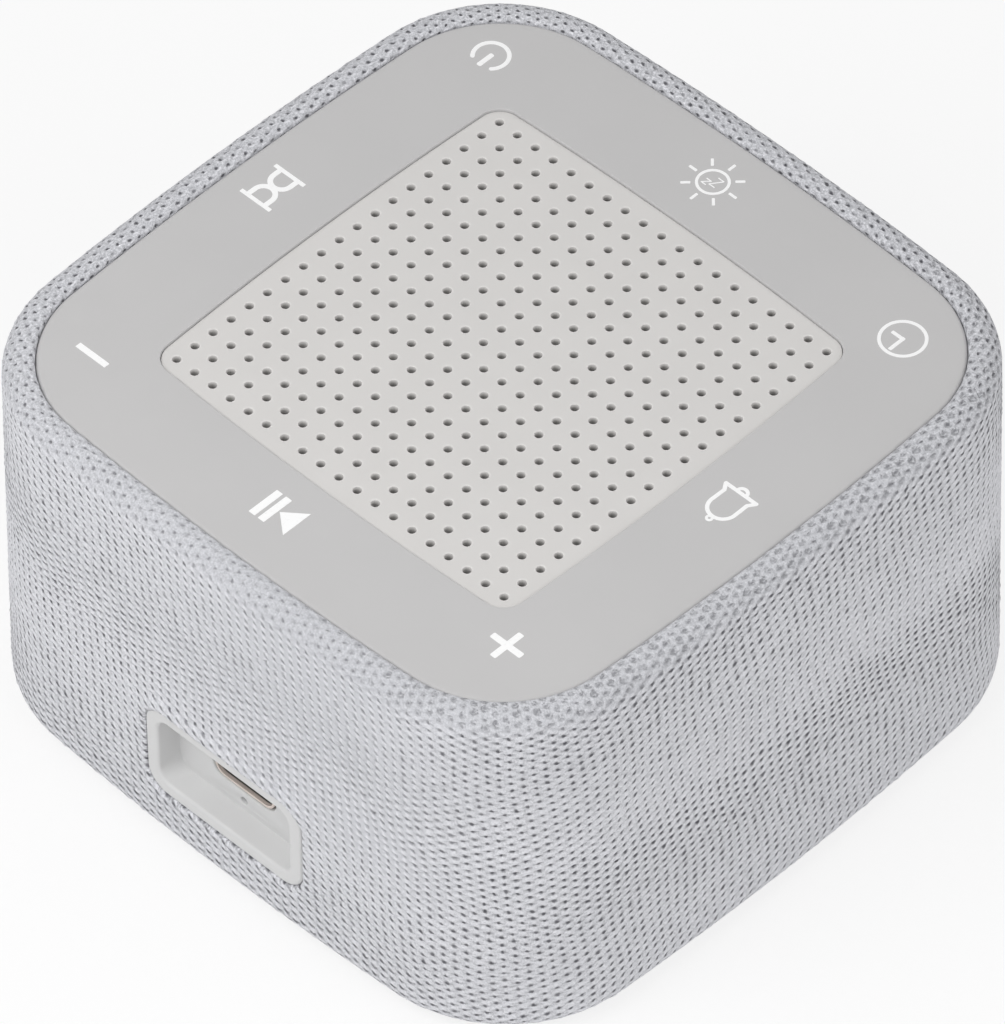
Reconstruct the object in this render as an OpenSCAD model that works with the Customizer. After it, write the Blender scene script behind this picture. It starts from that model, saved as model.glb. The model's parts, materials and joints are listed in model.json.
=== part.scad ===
// White noise sound machine: a bowed square block in a knitted sleeve, with a soft key panel
// round a square perforated grille on top and a power socket in a recess at the back.
// +Z is up, -Y is the front, +Y the back with the socket. The floor is z = 0. Sizes are in millimetres.

/* [Body] */
// Width and depth of the fabric body at its base
body_w = 88; // [87:0.5:90]
// Height from the floor to the crown of the fabric
body_h = 49.6; // [49.4:0.1:50.4]
// Radius of the upright corners at the base
corner_r = 18.6; // [18:0.1:19.5]
// Radius of each gently bowed flank
flank_r = 460; // [420:10:600]
// How far each flank leans in between base and shoulder
draft = 0.6; // [0.3:0.1:0.8]
// Radius of the fabric's top shoulder
shoulder_r = 2.4; // [2:0.1:2.6]
// Radius of the fabric's bottom edge
base_r = 2.6; // [2.2:0.1:2.8]
// Thickness of the knitted sleeve
sleeve_t = 0.9; // [0.8:0.05:1]

/* [Key panel] */
// Distance from the base outline in to the key panel's edge
panel_inset = 4.25; // [4.2:0.05:4.4]
// Thickness of the soft key panel
panel_t = 1.2; // [1:0.1:1.2]
// Distance of the four corner keys from the centre, along X and along Y
corner_key = 30.3; // [29.8:0.1:30.4]
// Distance of the four flank keys from the centre
flank_key = 33.2; // [32.8:0.1:33.4]
// Travel of each key
key_travel = 0.25; // [0.15:0.05:0.25]

/* [Grille] */
// Number of sound holes along each side
hole_rows = 19; // [15:2:19]
// Distance between neighbouring holes
hole_pitch = 2.7; // [2.6:0.05:2.75]
// Diameter of each sound hole
hole_d = 0.95; // [0.8:0.05:1.1]
// Half width of the grille at mid flank
grille_half = 26.9; // [26.6:0.1:27]
// Corner radius of the grille
grille_r = 2.7; // [2.4:0.1:3]

/* [Port] */
// Width of the port bezel
port_w = 23.4; // [23:0.1:24]
// Height of the port bezel
port_h = 13.2; // [12.9:0.1:13.6]
// Width of the bezel's front frame
port_rim = 1.7; // [1.5:0.1:1.8]
// Depth of the recess
port_depth = 2.9; // [2.7:0.1:3.1]
// Sideways place of the recess
port_x = -1.2; // [-1.8:0.1:-0.6]

/* [Speaker] */
// Outer radius of the speaker's flange
flange_r = 25; // [24.6:0.1:25.2]
// Height of the magnet
magnet_h = 5; // [4:0.5:6]

/* [Hidden] */
$fn = 64;

// A tiny step that carries a cut past the face it opens
over = 0.5;

// Heights
fabric_base_z = 1;
grille_top_z = body_h - 0.8;
panel_top_z = grille_top_z + 0.3;
deck_z = panel_top_z - panel_t;
deck_under_z = deck_z - 2.8;
rebate_z = deck_z - 1;
cover_z = 0.7;
ledge_z = 2.95;
flange_under_z = 4.5;

// The bowed square plan of the body
half_w = body_w / 2;
flank_c = half_w - flank_r;
corner_c = (flank_c + sqrt(2 * pow(flank_r - corner_r, 2) - pow(flank_c, 2))) / 2;
flank_a = atan2(corner_c, corner_c - flank_c);
// The corner arcs stand this much proud of tangent, so that they cross the flanks cleanly
corner_lap = 0.03;

// The sleeve's section runs from the hem beside the key panel to the turned edge below
hem_in = panel_inset - 0.15;
hem_out = hem_in - 0.75;
turn_in = 4.6;
arc_steps = 5;
shoulder_c = [draft + shoulder_r, body_h - shoulder_r];
base_c = [base_r, fabric_base_z + base_r];
sleeve_section = concat(
    [[hem_in, deck_z + 0.05], [hem_in, panel_top_z - 0.15], [hem_in - 0.4, body_h - 0.15]],
    arc(shoulder_c, shoulder_r, 90, 180),
    arc(base_c, base_r, 180, 270),
    [[turn_in, fabric_base_z], [turn_in, fabric_base_z + sleeve_t]],
    arc(base_c, base_r - sleeve_t, 270, 180),
    arc(shoulder_c, shoulder_r - sleeve_t, 180, 90),
    [[hem_out, body_h - sleeve_t], [hem_out, deck_z + 0.05]]
);

// The shell's section follows the inside of the sleeve, to the nearest hundredth
shell_gap = 0.12;
hollow_low = sleeve_t - base_r;
hollow_high = sleeve_t - shoulder_r;
shell_section = [for (p = [
    [base_r, fabric_base_z + sleeve_t + shell_gap],
    [base_r + hollow_low * cos(45), base_c.y + hollow_low * sin(45) + shell_gap],
    [sleeve_t, base_c.y],
    [draft + sleeve_t, shoulder_c.y],
    [shoulder_c.x + hollow_high * cos(45), shoulder_c.y - hollow_high * sin(45) - shell_gap],
    [shoulder_c.x, body_h - sleeve_t - shell_gap]
]) [hundredth(p.x + shell_gap), hundredth(p.y)]];
wall_in = 3.4;
ledge_in = 6.2;
cover_in = 4.75;

// Screw posts
cover_posts = [for (x = [-1, 1], y = [-1, 1]) [x * 36.2, y * 16]];
key_posts = [for (x = [-1, 1], y = [-1, 1]) [x * 17, y * 33.4]];
speaker_posts = [for (x = [-1, 1], y = [-1, 1]) [x * 19.6, y * 19.6]];
board_posts = [for (x = [-1, 1], y = [-21, 33]) [x * 27, y]];
feet = [for (x = [-1, 1], y = [-1, 1]) [x * 29, y * 29]];
pilot_r = 0.9;
shank_r = 0.88;
display_posts_x = 27.5;

// Keys, named by what they do
key_at = [
    [corner_key, -corner_key], [0, -flank_key], [-corner_key, -corner_key], [-flank_key, 0],
    [-corner_key, corner_key], [0, flank_key], [corner_key, corner_key], [flank_key, 0]
];
nub_h = 0.3;
nub_r = 1.7;
key_hole_r = 2.2;
key_r = 1.9;
key_flange_r = 2.7;
key_flange_t = 0.3;
key_flange_z = deck_under_z - 0.1 - key_flange_t;
switch_w = 6;
switch_h = 3.4;
switch_top_z = key_flange_z - key_travel - 0.05;
switch_well_r = 1.9;
switch_well_z = switch_top_z - 0.9;
switch_stem_r = 1.6;
dome_r = 1.7;
key_board_t = 1.2;
key_board_z = switch_top_z - switch_h - key_board_t;
key_board_half = 37;
key_board_opening = 26.5;

// Grille
grille_flange = 1.6;
grille_plate_t = 1.6;
panel_gap = 0.12;
hole_lip = 0.18;
mesh_t = 0.3;

// Speaker heights, from its flange down
speaker_flange_z = deck_under_z - 3.1;
basket_t = 0.8;
lip_t = 0.3;
gasket_t = 0.6;
aperture_r = 22;
basket_floor_z = speaker_flange_z - 8.5;
top_plate_t = 2.5;
top_plate_z = basket_floor_z - basket_t - top_plate_t;
magnet_z = top_plate_z - magnet_h;
yoke_t = 2;
yoke_z = magnet_z - yoke_t;
pole_r = 6.8;
coil_r = 7;
cone_in_r = 7.2;
cone_out_r = 17.6;
cone_in_z = basket_floor_z + 1.7;
cone_slope = 0.48;
cone_t = 0.5;
cap_r = 8.8;

// Port and main board
port_z = 14.7;
port_r = 3;
port_face_y = half_w - 0.25;
port_seat_y = port_face_y - 1.55;
recess_y = port_face_y - port_depth;
port_wall = 1.2;
port_step = 0.8;
slot_w = 9.6;
slot_h = 3.5;
pinhole_r = 0.48;
socket_x = -1.4;
socket_mouth_y = recess_y - 0.15;
board_t = 1.2;
board_z = 13.3;
socket_w = 8.94;
socket_h = 3.16;
socket_l = 7.3;
socket_mid_z = board_z + socket_h / 2;
lamp_x = -1.3;
lamp_z = board_z - board_t - 0.35;

// Display
display_z = 26;
display_w = 46;
display_h = 12;
display_back_y = -33.7;
display_front_y = -41.8;
digit_pitch = 10.4;
segment_l = 3.6;
segment_w = 1;
segment_row = segment_l + 0.5;
segment_side = segment_l / 2 + 0.35;
digit_at = [for (place = [-1.6, -0.6, 0.6, 1.6]) place * digit_pitch];

// Cells and boards
cell = [46, 34, 6.5];
pad_t = 0.65;
board_back_y = 37.5;
board_front_y = -25;
board_half_x = 30;

// Routes of the leads, from the terminals and the cell down or up to the main board
speaker_lead_route = [
    [-19.6, -0.8, 31.9], [-19.6, -0.8, 30.2], [-20.4, -1, 28.2], [-21.4, -1.6, 26], [-21.8, -2.4, 23.5],
    [-21.2, -3.4, 21], [-20.3, -3.9, 19.4], [-20, -4, 18.4], [-20, -4, 17.3]
];
battery_lead_route = [
    [23, 1.5, 6.8], [25.4, 1.5, 6.8], [28.6, 3, 7.2], [31, 5, 8.8], [32, 7.5, 11.5],
    [32, 9, 14], [31.2, 9.8, 15.3], [30.2, 10, 15.4], [29, 10, 15.4]
];

// Points of an arc, with x measured inwards from the outline and the angle turning from inwards to up
function arc(c, r, from, to) =
    [for (i = [0:arc_steps]) let (a = from + (to - from) * i / arc_steps) c + r * [cos(a), sin(a)]];

function hundredth(v) = round(v * 100) / 100;

// Height of the cone's upper face at radius r
function cone_top(r) = cone_in_z + cone_t + cone_slope * (r - cone_in_r);

// One point of the body's plan, at a step counted round the outline, moved inwards
flank_steps = 6;
corner_steps = 10;
side_steps = flank_steps + corner_steps;
function side_point(step, inset) =
    step < flank_steps
        ? let (a = -flank_a + 2 * flank_a * step / flank_steps)
            [flank_c, 0] + (flank_r - inset) * [cos(a), sin(a)]
        : let (a = flank_a + (90 - 2 * flank_a) * (step - flank_steps) / corner_steps)
            [corner_c, corner_c] + (corner_r - inset) * [cos(a), sin(a)];
function turned(p, a) = [p.x * cos(a) - p.y * sin(a), p.x * sin(a) + p.y * cos(a)];
function plan_point(step, inset) =
    turned(side_point(step % side_steps, inset), 90 * floor(step / side_steps));

// A bowed square with rounded corners; inset moves the whole outline inwards
module bowed(half, corner, inset = 0) {
    fc = half - flank_r;
    cc = (fc + sqrt(2 * pow(flank_r - corner, 2) - pow(fc, 2))) / 2;
    intersection() {
        intersection_for (turn = [0:90:270])
            rotate(turn) translate([fc, 0]) circle(flank_r - inset, $fn = 720);
        union() {
            square([2 * half + 1, 2 * cc], center = true);
            square([2 * cc, 2 * half + 1], center = true);
            for (x = [-1, 1], y = [-1, 1])
                translate([x * cc, y * cc]) circle(corner + corner_lap - inset);
        }
    }
}

module plan(inset) {
    bowed(half_w, corner_r, inset);
}

// The same outline, tapering from one inset to another over its height
module bowed_taper(half, corner, low, high, h) {
    fc = half - flank_r;
    cc = (fc + sqrt(2 * pow(flank_r - corner, 2) - pow(fc, 2))) / 2;
    intersection() {
        intersection_for (turn = [0:90:270])
            rotate(turn) translate([fc, 0]) cylinder(h, flank_r - low, flank_r - high, $fn = 720);
        union() {
            translate([0, 0, h / 2]) cube([2 * half + 1, 2 * cc, h], center = true);
            translate([0, 0, h / 2]) cube([2 * cc, 2 * half + 1, h], center = true);
            for (x = [-1, 1], y = [-1, 1])
                translate([x * cc, y * cc])
                    cylinder(h, corner + corner_lap - low, corner + corner_lap - high);
        }
    }
}

module rounded(w, h, r) {
    square([w - 2 * r, h], center = true);
    square([w, h - 2 * r], center = true);
    for (x = [-1, 1], y = [-1, 1])
        translate([x * (w / 2 - r), y * (h / 2 - r)]) circle(r);
}

// A slab of a flat outline between two heights
module slab(low, high) {
    translate([0, 0, low]) linear_extrude(high - low) children();
}

// The same, standing up: the outline is drawn in X and Z, and runs between two depths in Y
module upright(front, back) {
    translate([0, back, 0]) rotate([90, 0, 0]) linear_extrude(back - front) children();
}

module ring(low, high, inner, outer) {
    slab(low, high) difference() {
        circle(outer);
        circle(inner);
    }
}

module rod(at, low, high, r) {
    translate([at.x, at.y, low]) cylinder(high - low, r, r);
}

// A pan-head screw driven upwards, seated on its head at head_z
module screw_up(at, head_z, head_r, head_h, length) {
    difference() {
        union() {
            rod(at, head_z - head_h, head_z, head_r);
            rod(at, head_z, head_z + length, shank_r);
        }
        translate([at.x, at.y, head_z - head_h]) cross_drive(head_r);
    }
}

module cross_drive(head_r) {
    cube([head_r * 1.1, 0.5, 1], center = true);
    cube([0.5, head_r * 1.1, 1], center = true);
}

// A round tube along hand-picked points; each ring faces along the run's mean direction
module wire(points, r, sides = 8) {
    last = len(points) - 1;
    function heading(i) = points[min(i + 1, last)] - points[max(i - 1, 0)];
    function unit(v) = v / norm(v);
    function across(v) = unit(cross(v, abs(v.z) > 0.9 * norm(v) ? [1, 0, 0] : [0, 0, 1]));
    verts = [
        for (i = [0:last])
            let (d = unit(heading(i)), s = across(d), t = cross(d, s))
                for (k = [0:sides - 1])
                    points[i] + r * (s * cos(360 * k / sides) + t * sin(360 * k / sides))
    ];
    walls = [
        for (i = [0:last - 1], k = [0:sides - 1])
            let (a = i * sides + k, b = i * sides + (k + 1) % sides)
                for (f = [[a, b + sides, b], [a, a + sides, b + sides]]) f
    ];
    caps = [
        [for (k = [0:sides - 1]) k],
        [for (k = [sides - 1:-1:0]) last * sides + k]
    ];
    polyhedron(verts, concat(walls, caps));
}

// A flat strip of thickness t whose centre line runs along the points, drawn as a flat outline
module strip(points, t) {
    last = len(points) - 1;
    function normal(i) =
        let (d = points[min(i + 1, last)] - points[max(i - 1, 0)]) [-d.y, d.x] / norm(d) * t / 2;
    polygon(concat(
        [for (i = [0:last]) points[i] + normal(i)],
        [for (i = [last:-1:0]) points[i] - normal(i)]
    ));
}

// ---- Housing ----

module fabric_sleeve() {
    around = 4 * side_steps;
    rows = len(sleeve_section);
    verts = [
        for (i = [0:around - 1], p = sleeve_section)
            let (q = plan_point(i, p.x)) [q.x, q.y, p.y]
    ];
    faces = [
        for (i = [0:around - 1], s = [0:rows - 1])
            let (a = i * rows + s, b = i * rows + (s + 1) % rows,
                 c = ((i + 1) % around) * rows + (s + 1) % rows, d = ((i + 1) % around) * rows + s)
                for (f = [[a, c, b], [a, d, c]]) f
    ];
    color("lightsteelblue") difference() {
        polyhedron(verts, faces);
        upright(half_w - 8, half_w + over)
            translate([port_x, port_z]) rounded(port_w + 0.3, port_h + 0.3, port_r + 0.15);
    }
}

module shell_solid() {
    for (i = [1:len(shell_section) - 1]) {
        low = shell_section[i - 1];
        high = shell_section[i];
        translate([0, 0, low.y]) bowed_taper(half_w, corner_r, low.x, high.x, high.y - low.y);
    }
}

module main_shell() {
    color("gainsboro") difference() {
        union() {
            difference() {
                shell_solid();
                slab(fabric_base_z, ledge_z) plan(turn_in);
                slab(fabric_base_z, flange_under_z + over) plan(ledge_in);
                slab(flange_under_z, deck_under_z) plan(wall_in);
            }
            for (p = cover_posts) {
                rod(p, ledge_z, deck_under_z + over, 3.2);
                slab(flange_under_z, deck_under_z + over)
                    translate([sign(p.x) * (half_w - 5.5), p.y]) square([5, 1.4], center = true);
            }
            for (p = key_posts) rod(p, key_board_z + key_board_t, deck_under_z + over, 2.6);
            for (p = speaker_posts) rod(p, speaker_flange_z, deck_under_z + over, 2.8);
            ring(speaker_flange_z + lip_t + gasket_t, deck_under_z + over, aperture_r + 0.2, 24.4);
            for (x = [-1, 1])
                upright(-half_w + 3.2, display_back_y)
                    translate([x * display_posts_x, display_z]) circle(2.3);
        }
        slab(deck_z, body_h) plan(hem_out - 0.05);
        slab(rebate_z, body_h) bowed(grille_half + grille_flange + 0.15, grille_r + grille_flange);
        rod([0, 0], deck_under_z - 1, body_h, aperture_r);
        for (p = key_at) rod(p, deck_under_z - 1, body_h, key_hole_r);
        for (p = cover_posts) rod(p, ledge_z - over, 12, pilot_r);
        for (p = key_posts) rod(p, key_board_z, deck_under_z + 1.2, pilot_r);
        for (p = speaker_posts) rod(p, speaker_flange_z - over, deck_under_z + 1.2, pilot_r);
        upright(port_seat_y, half_w + over)
            translate([port_x, port_z]) rounded(port_w + 0.1, port_h + 0.1, port_r + 0.05);
        upright(half_w - 8, half_w)
            translate([port_x, port_z])
                rounded(port_w - 2 * port_step + 0.2, port_h - 2 * port_step + 0.2, port_r - port_step + 0.1);
        upright(-half_w - over, -half_w + 8)
            translate([0, display_z]) rounded(display_w, display_h, 1);
        for (x = [-1, 1])
            upright(-half_w + 4, display_back_y + over)
                translate([x * display_posts_x, display_z]) circle(0.8);
    }
}

module bottom_cover() {
    color("gainsboro") difference() {
        union() {
            slab(cover_z, ledge_z) plan(cover_in);
            for (p = board_posts) rod(p, ledge_z - over, board_z - board_t, 2.8);
            slab(ledge_z - over, 6) difference() {
                rounded(cell.x + 2.8, cell.y + 2.8, 2);
                rounded(cell.x + 0.4, cell.y + 0.4, 1);
            }
        }
        for (p = cover_posts) {
            rod(p, cover_z - over, ledge_z + over, 1.2);
            rod(p, cover_z - over, cover_z + 1.2, 2.3);
        }
        for (p = feet) rod(p, cover_z - over, cover_z + 0.8, 5);
        for (p = board_posts) rod(p, 4, board_z, pilot_r);
        for (x = [-1, 1]) translate([x * cell.x / 2, 0, 6]) cube([5, 10, 4], center = true);
    }
}

module rubber_feet() {
    color("dimgray") for (p = feet) translate([p.x, p.y, 0]) rotate_extrude()
        polygon([[0, 0], [4.4, 0], [4.8, 0.4], [4.95, cover_z], [4.95, cover_z + 0.8], [0, cover_z + 0.8]]);
}

module cover_screws() {
    color("silver") for (p = cover_posts) screw_up(p, cover_z + 1.2, 2.1, 1, 8.5);
}

// ---- Key panel and grille ----

// The soft panel is one moulding: rounded at both edges, with a nub under each key
module key_panel() {
    edge = 0.35;
    half = grille_half + panel_gap;
    color("darkgray") difference() {
        union() {
            slab(deck_z, panel_top_z - edge) plan(panel_inset);
            translate([0, 0, panel_top_z - edge])
                bowed_taper(half_w, corner_r, panel_inset, panel_inset + edge, edge);
            for (p = key_at) rod(p, deck_z - nub_h, deck_z + nub_h, nub_r);
        }
        slab(deck_z - 1, body_h) bowed(half, grille_r + panel_gap);
        translate([0, 0, panel_top_z - edge + 0.001])
            bowed_taper(half + edge, grille_r + panel_gap + edge, edge, 0, edge);
    }
}

module speaker_grille() {
    plate_z = grille_top_z - grille_plate_t;
    first = -(hole_rows - 1) / 2 * hole_pitch;
    color("whitesmoke") difference() {
        union() {
            slab(plate_z, grille_top_z) bowed(grille_half, grille_r);
            slab(rebate_z, deck_z) bowed(grille_half + grille_flange, grille_r + grille_flange);
        }
        slab(rebate_z - 1, plate_z) bowed(grille_half - 1.2, grille_r);
        for (i = [0:hole_rows - 1], j = [0:hole_rows - 1])
            translate([first + i * hole_pitch, first + j * hole_pitch, plate_z - over]) {
                cylinder(grille_plate_t + 2 * over, hole_d / 2, hole_d / 2, $fn = 16);
                translate([0, 0, grille_plate_t + over - hole_lip])
                    cylinder(hole_lip, hole_d / 2, hole_d / 2 + hole_lip, $fn = 16);
            }
    }
}

module dust_mesh() {
    color("dimgray") slab(rebate_z, rebate_z + mesh_t) bowed(grille_half - 1.35, grille_r);
}

// ---- Keys ----

module key_pin(at) {
    color("whitesmoke") {
        rod(at, key_flange_z, deck_z - nub_h, key_r);
        rod(at, key_flange_z, key_flange_z + key_flange_t, key_flange_r);
        rod(at, switch_top_z - 0.35, key_flange_z + 0.1, switch_stem_r);
    }
}

module key_board() {
    color("seagreen") slab(key_board_z, key_board_z + key_board_t) difference() {
        rounded(2 * key_board_half, 2 * key_board_half, 12);
        rounded(2 * key_board_opening, 2 * key_board_opening, 8);
        for (p = cover_posts) translate(p) circle(4);
        for (p = key_posts) translate(p) circle(1.1);
    }
}

module key_switches() {
    base = key_board_z + key_board_t;
    color("dimgray") for (p = key_at) difference() {
        translate([p.x, p.y, base + switch_h / 2]) cube([switch_w, switch_w, switch_h], center = true);
        rod(p, switch_well_z, switch_top_z + over, switch_well_r);
    }
}

// Snap domes in the wells of the switches
module key_domes() {
    rise = 0.25;
    ball = (pow(dome_r, 2) + pow(rise, 2)) / (2 * rise);
    color("silver") for (p = key_at) intersection() {
        rod(p, switch_well_z, switch_well_z + 1, dome_r);
        translate([p.x, p.y, switch_well_z + rise - ball]) sphere(ball);
    }
}

module key_board_screws() {
    color("silver") for (p = key_posts) screw_up(p, key_board_z, 1.8, 1, 5);
}

// ---- Speaker ----

module speaker_gasket() {
    low = speaker_flange_z + lip_t;
    color("dimgray") ring(low, low + gasket_t, aperture_r + 0.2, 24.4);
}

module speaker_basket() {
    z = speaker_flange_z;
    floor_z = basket_floor_z;
    color("silver") difference() {
        union() {
            rotate_extrude() polygon([
                [9, floor_z - basket_t], [17, floor_z - basket_t], [22.8, z - basket_t],
                [flange_r, z - basket_t], [flange_r, z], [aperture_r, z],
                [16.4, floor_z], [9, floor_z]
            ]);
            for (p = speaker_posts) rod(p, z - basket_t, z, 3.6);
        }
        for (turn = [0, 90]) rotate(turn)
            translate([0, 0, (z + floor_z - basket_t) / 2]) cube([60, 20, 4.6], center = true);
        for (p = speaker_posts) rod(p, z - 2, z + over, 1.15);
    }
}

// A rubber half roll between the cone's edge and the flange
module speaker_surround() {
    z = speaker_flange_z;
    roll_c = [19.9, z];
    color("dimgray") rotate_extrude() union() {
        intersection() {
            difference() {
                translate(roll_c) circle(2);
                translate(roll_c) circle(1.6);
            }
            translate([17, z]) square([6, 3]);
        }
        translate([17.9, z - 0.9]) square([0.4, 0.9]);
        translate([21.5, z]) square([2.7, lip_t]);
    }
}

// A corrugated cloth disc that centres the coil
module speaker_spider() {
    inner = 7.7;
    outer = 15.7;
    rim = 14.3;
    waves = 4;
    step = (13.7 - inner) / (2 * waves);
    line = concat(
        [for (i = [0:2 * waves]) [inner + i * step, basket_floor_z + (i % 2 == 0 ? 0.3 : 0.6)]],
        [[rim, basket_floor_z + 0.15], [outer, basket_floor_z + 0.15]]
    );
    lifted = [for (i = [len(line) - 1:-1:0]) line[i] + [0, 0.3]];
    color("tan") rotate_extrude() polygon(concat([for (p = line) p - [0, 0.15]], [for (p = lifted) p - [0, 0.15]]));
}

module speaker_cone() {
    color("dimgray") rotate_extrude() polygon([
        [cone_in_r, cone_in_z], [cone_out_r, cone_in_z + cone_slope * (cone_out_r - cone_in_r)],
        [cone_out_r, cone_top(cone_out_r)], [cone_in_r, cone_top(cone_in_r)]
    ]);
}

module dust_cap() {
    rise = 2.6;
    rim = cone_top(cap_r);
    ball = (pow(cap_r, 2) + pow(rise, 2)) / (2 * rise);
    steps = 8;
    reach = asin(cap_r / ball);
    dome = [for (i = [0:steps]) let (a = reach * (steps - i) / steps)
        [ball * sin(a), rim + rise - ball + ball * cos(a)]];
    under = [for (i = [0:steps - 1]) let (a = reach * i / steps)
        [(ball - 0.4) * sin(a), rim + rise - ball + (ball - 0.4) * cos(a)]];
    color("dimgray") rotate_extrude() polygon(concat(dome, under, [[cap_r - 0.4, cone_top(cap_r - 0.4)]]));
}

module voice_coil() {
    gap_mid = top_plate_z + top_plate_t / 2;
    color("peru") {
        ring(top_plate_z - 1.5, cone_in_z + 1, coil_r, cone_in_r);
        ring(gap_mid - 1.75, gap_mid + 1.75, coil_r, coil_r + 0.5);
    }
}

module speaker_top_plate() {
    color("silver") ring(top_plate_z, top_plate_z + top_plate_t, 7.8, 15);
}

module speaker_magnet() {
    color("dimgray") ring(magnet_z, top_plate_z, 9, 16);
}

module speaker_yoke() {
    color("silver") rotate_extrude() polygon([
        [0, yoke_z], [14.4, yoke_z], [15, yoke_z + 0.6], [15, magnet_z],
        [pole_r, magnet_z], [pole_r, top_plate_z + top_plate_t], [0, top_plate_z + top_plate_t]
    ]);
}

// A small tag board under the basket's rim, where the leads are soldered
module speaker_terminals() {
    z = basket_floor_z - basket_t;
    color("peru") slab(z - 0.8, z) translate([-18.3, 0]) square([6, 7], center = true);
}

module speaker_screws() {
    color("silver") for (p = speaker_posts) screw_up(p, speaker_flange_z - basket_t, 2.2, 1.1, 4.9);
}

// ---- Port ----

// A tapered recess with a slot for the socket and a pinhole for the charge lamp
module port_bezel() {
    mouth = [port_w - 2 * port_rim, port_h - 2 * port_rim];
    lean = 0.35;
    color("whitesmoke") difference() {
        union() {
            upright(port_seat_y, port_face_y)
                translate([port_x, port_z]) rounded(port_w, port_h, port_r);
            upright(recess_y - port_wall, port_seat_y + over)
                translate([port_x, port_z])
                    rounded(port_w - 2 * port_step, port_h - 2 * port_step, port_r - port_step);
        }
        steps = 4;
        for (i = [0:steps - 1])
            upright(recess_y + i * port_depth / steps, port_face_y + over)
                translate([port_x, port_z])
                    rounded(mouth.x - 2 * lean * (steps - 1 - i) / steps,
                            mouth.y - 2 * lean * (steps - 1 - i) / steps, port_r - port_rim + 0.3);
        upright(recess_y - port_wall - over, recess_y + over)
            translate([socket_x, socket_mid_z]) rounded(slot_w, slot_h, 1.7);
        upright(recess_y - port_wall - over, recess_y + over)
            translate([lamp_x, lamp_z]) circle(pinhole_r);
    }
}

module socket_shell() {
    color("silver") difference() {
        upright(socket_mouth_y - socket_l, socket_mouth_y)
            translate([socket_x, socket_mid_z]) rounded(socket_w, socket_h, 1.5);
        upright(socket_mouth_y - socket_l + 1, socket_mouth_y + over)
            translate([socket_x, socket_mid_z]) rounded(socket_w - 0.6, socket_h - 0.6, 1.2);
    }
}

module socket_tongue() {
    color("dimgray") translate([socket_x, socket_mouth_y - socket_l / 2, socket_mid_z])
        cube([6.6, socket_l - 2, 0.7], center = true);
}

module charge_lamp() {
    color("whitesmoke") translate([lamp_x, board_back_y - 0.4, lamp_z])
        cube([1.6, 0.8, 0.7], center = true);
}

// ---- Boards ----

module main_board() {
    middle = (board_back_y + board_front_y) / 2;
    color("seagreen") slab(board_z - board_t, board_z) difference() {
        translate([0, middle]) rounded(2 * board_half_x, board_back_y - board_front_y, 3);
        for (p = board_posts) translate(p) circle(1.1);
    }
}

// A chip: where its centre is, and its size
module chip(at, size) {
    translate([at.x, at.y, board_z + size.z / 2]) cube(size, center = true);
}

module board_chips() {
    color("dimgray") {
        chip([2, 4], [9, 9, 1]);
        chip([-14, 10], [5, 4, 1.5]);
        chip([15, -8], [5, 4, 1.5]);
        chip([14, 14], [4.5, 4.5, 2.5]);
        chip([-12, -12], [7, 3.2, 1.6]);
    }
}

module board_capacitors() {
    color("slategray") for (p = [[-20, 24], [-13, 24], [18, 24], [20, 4]])
        rod(p, board_z, board_z + 5.8, 2.5);
}

module board_connectors() {
    color("whitesmoke") {
        chip([26.5, 10], [5, 6, 4]);
        chip([-20, -4], [5, 6, 4]);
        chip([-26, 4], [4, 9, 1.6]);
        chip([0, -22.5], [14, 4, 1.6]);
    }
}

module board_screws() {
    color("silver") for (p = board_posts) difference() {
        union() {
            rod(p, board_z, board_z + 1, 1.8);
            rod(p, board_z - 7, board_z, shank_r);
        }
        translate([p.x, p.y, board_z + 1]) cross_drive(1.8);
    }
}

// ---- Battery ----

module battery_cell() {
    color("silver") translate([0, 0, ledge_z + pad_t]) {
        slab(0, cell.z) rounded(cell.x - 3, cell.y, 1);
        slab(2.6, 3.9) square([cell.x, cell.y - 4], center = true);
    }
}

module battery_pad() {
    color("dimgray") slab(ledge_z, ledge_z + pad_t) square([cell.x - 8, cell.y - 6], center = true);
}

// ---- Display ----

// Seven straight segments with pointed ends, drawn round a digit's centre
module digit() {
    reach = segment_l / 2;
    for (row = [-1:1]) translate([0, row * segment_row]) bar(reach);
    for (x = [-1, 1], row = [-0.5, 0.5])
        translate([x * segment_side, row * segment_row]) rotate(90) bar(reach);
}

module bar(reach) {
    h = segment_w / 2;
    polygon([[-reach, 0], [-reach + h, h], [reach - h, h], [reach, 0], [reach - h, -h], [-reach + h, -h]]);
}

module digits() {
    for (x = digit_at) translate([x, 0]) digit();
    for (y = [-2, 2]) translate([0, y]) circle(0.6);
}

module display_mask() {
    color("whitesmoke") difference() {
        union() {
            upright(-39.5, display_back_y)
                translate([0, display_z]) rounded(49, 15, 1);
            upright(display_front_y, -39)
                translate([0, display_z]) rounded(display_w - 0.4, display_h - 0.4, 0.8);
        }
        upright(display_front_y - over, display_back_y + over) translate([0, display_z]) digits();
    }
}

module display_film() {
    color("lightgray") upright(display_front_y - 0.3, display_front_y)
        translate([0, display_z]) rounded(display_w - 0.4, display_h - 0.4, 0.8);
}

module display_board() {
    color("seagreen") upright(display_back_y, display_back_y + 1.2) difference() {
        translate([0, display_z]) rounded(61, 19, 2);
        for (x = [-1, 1]) translate([x * display_posts_x, display_z]) circle(1);
    }
}

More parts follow.
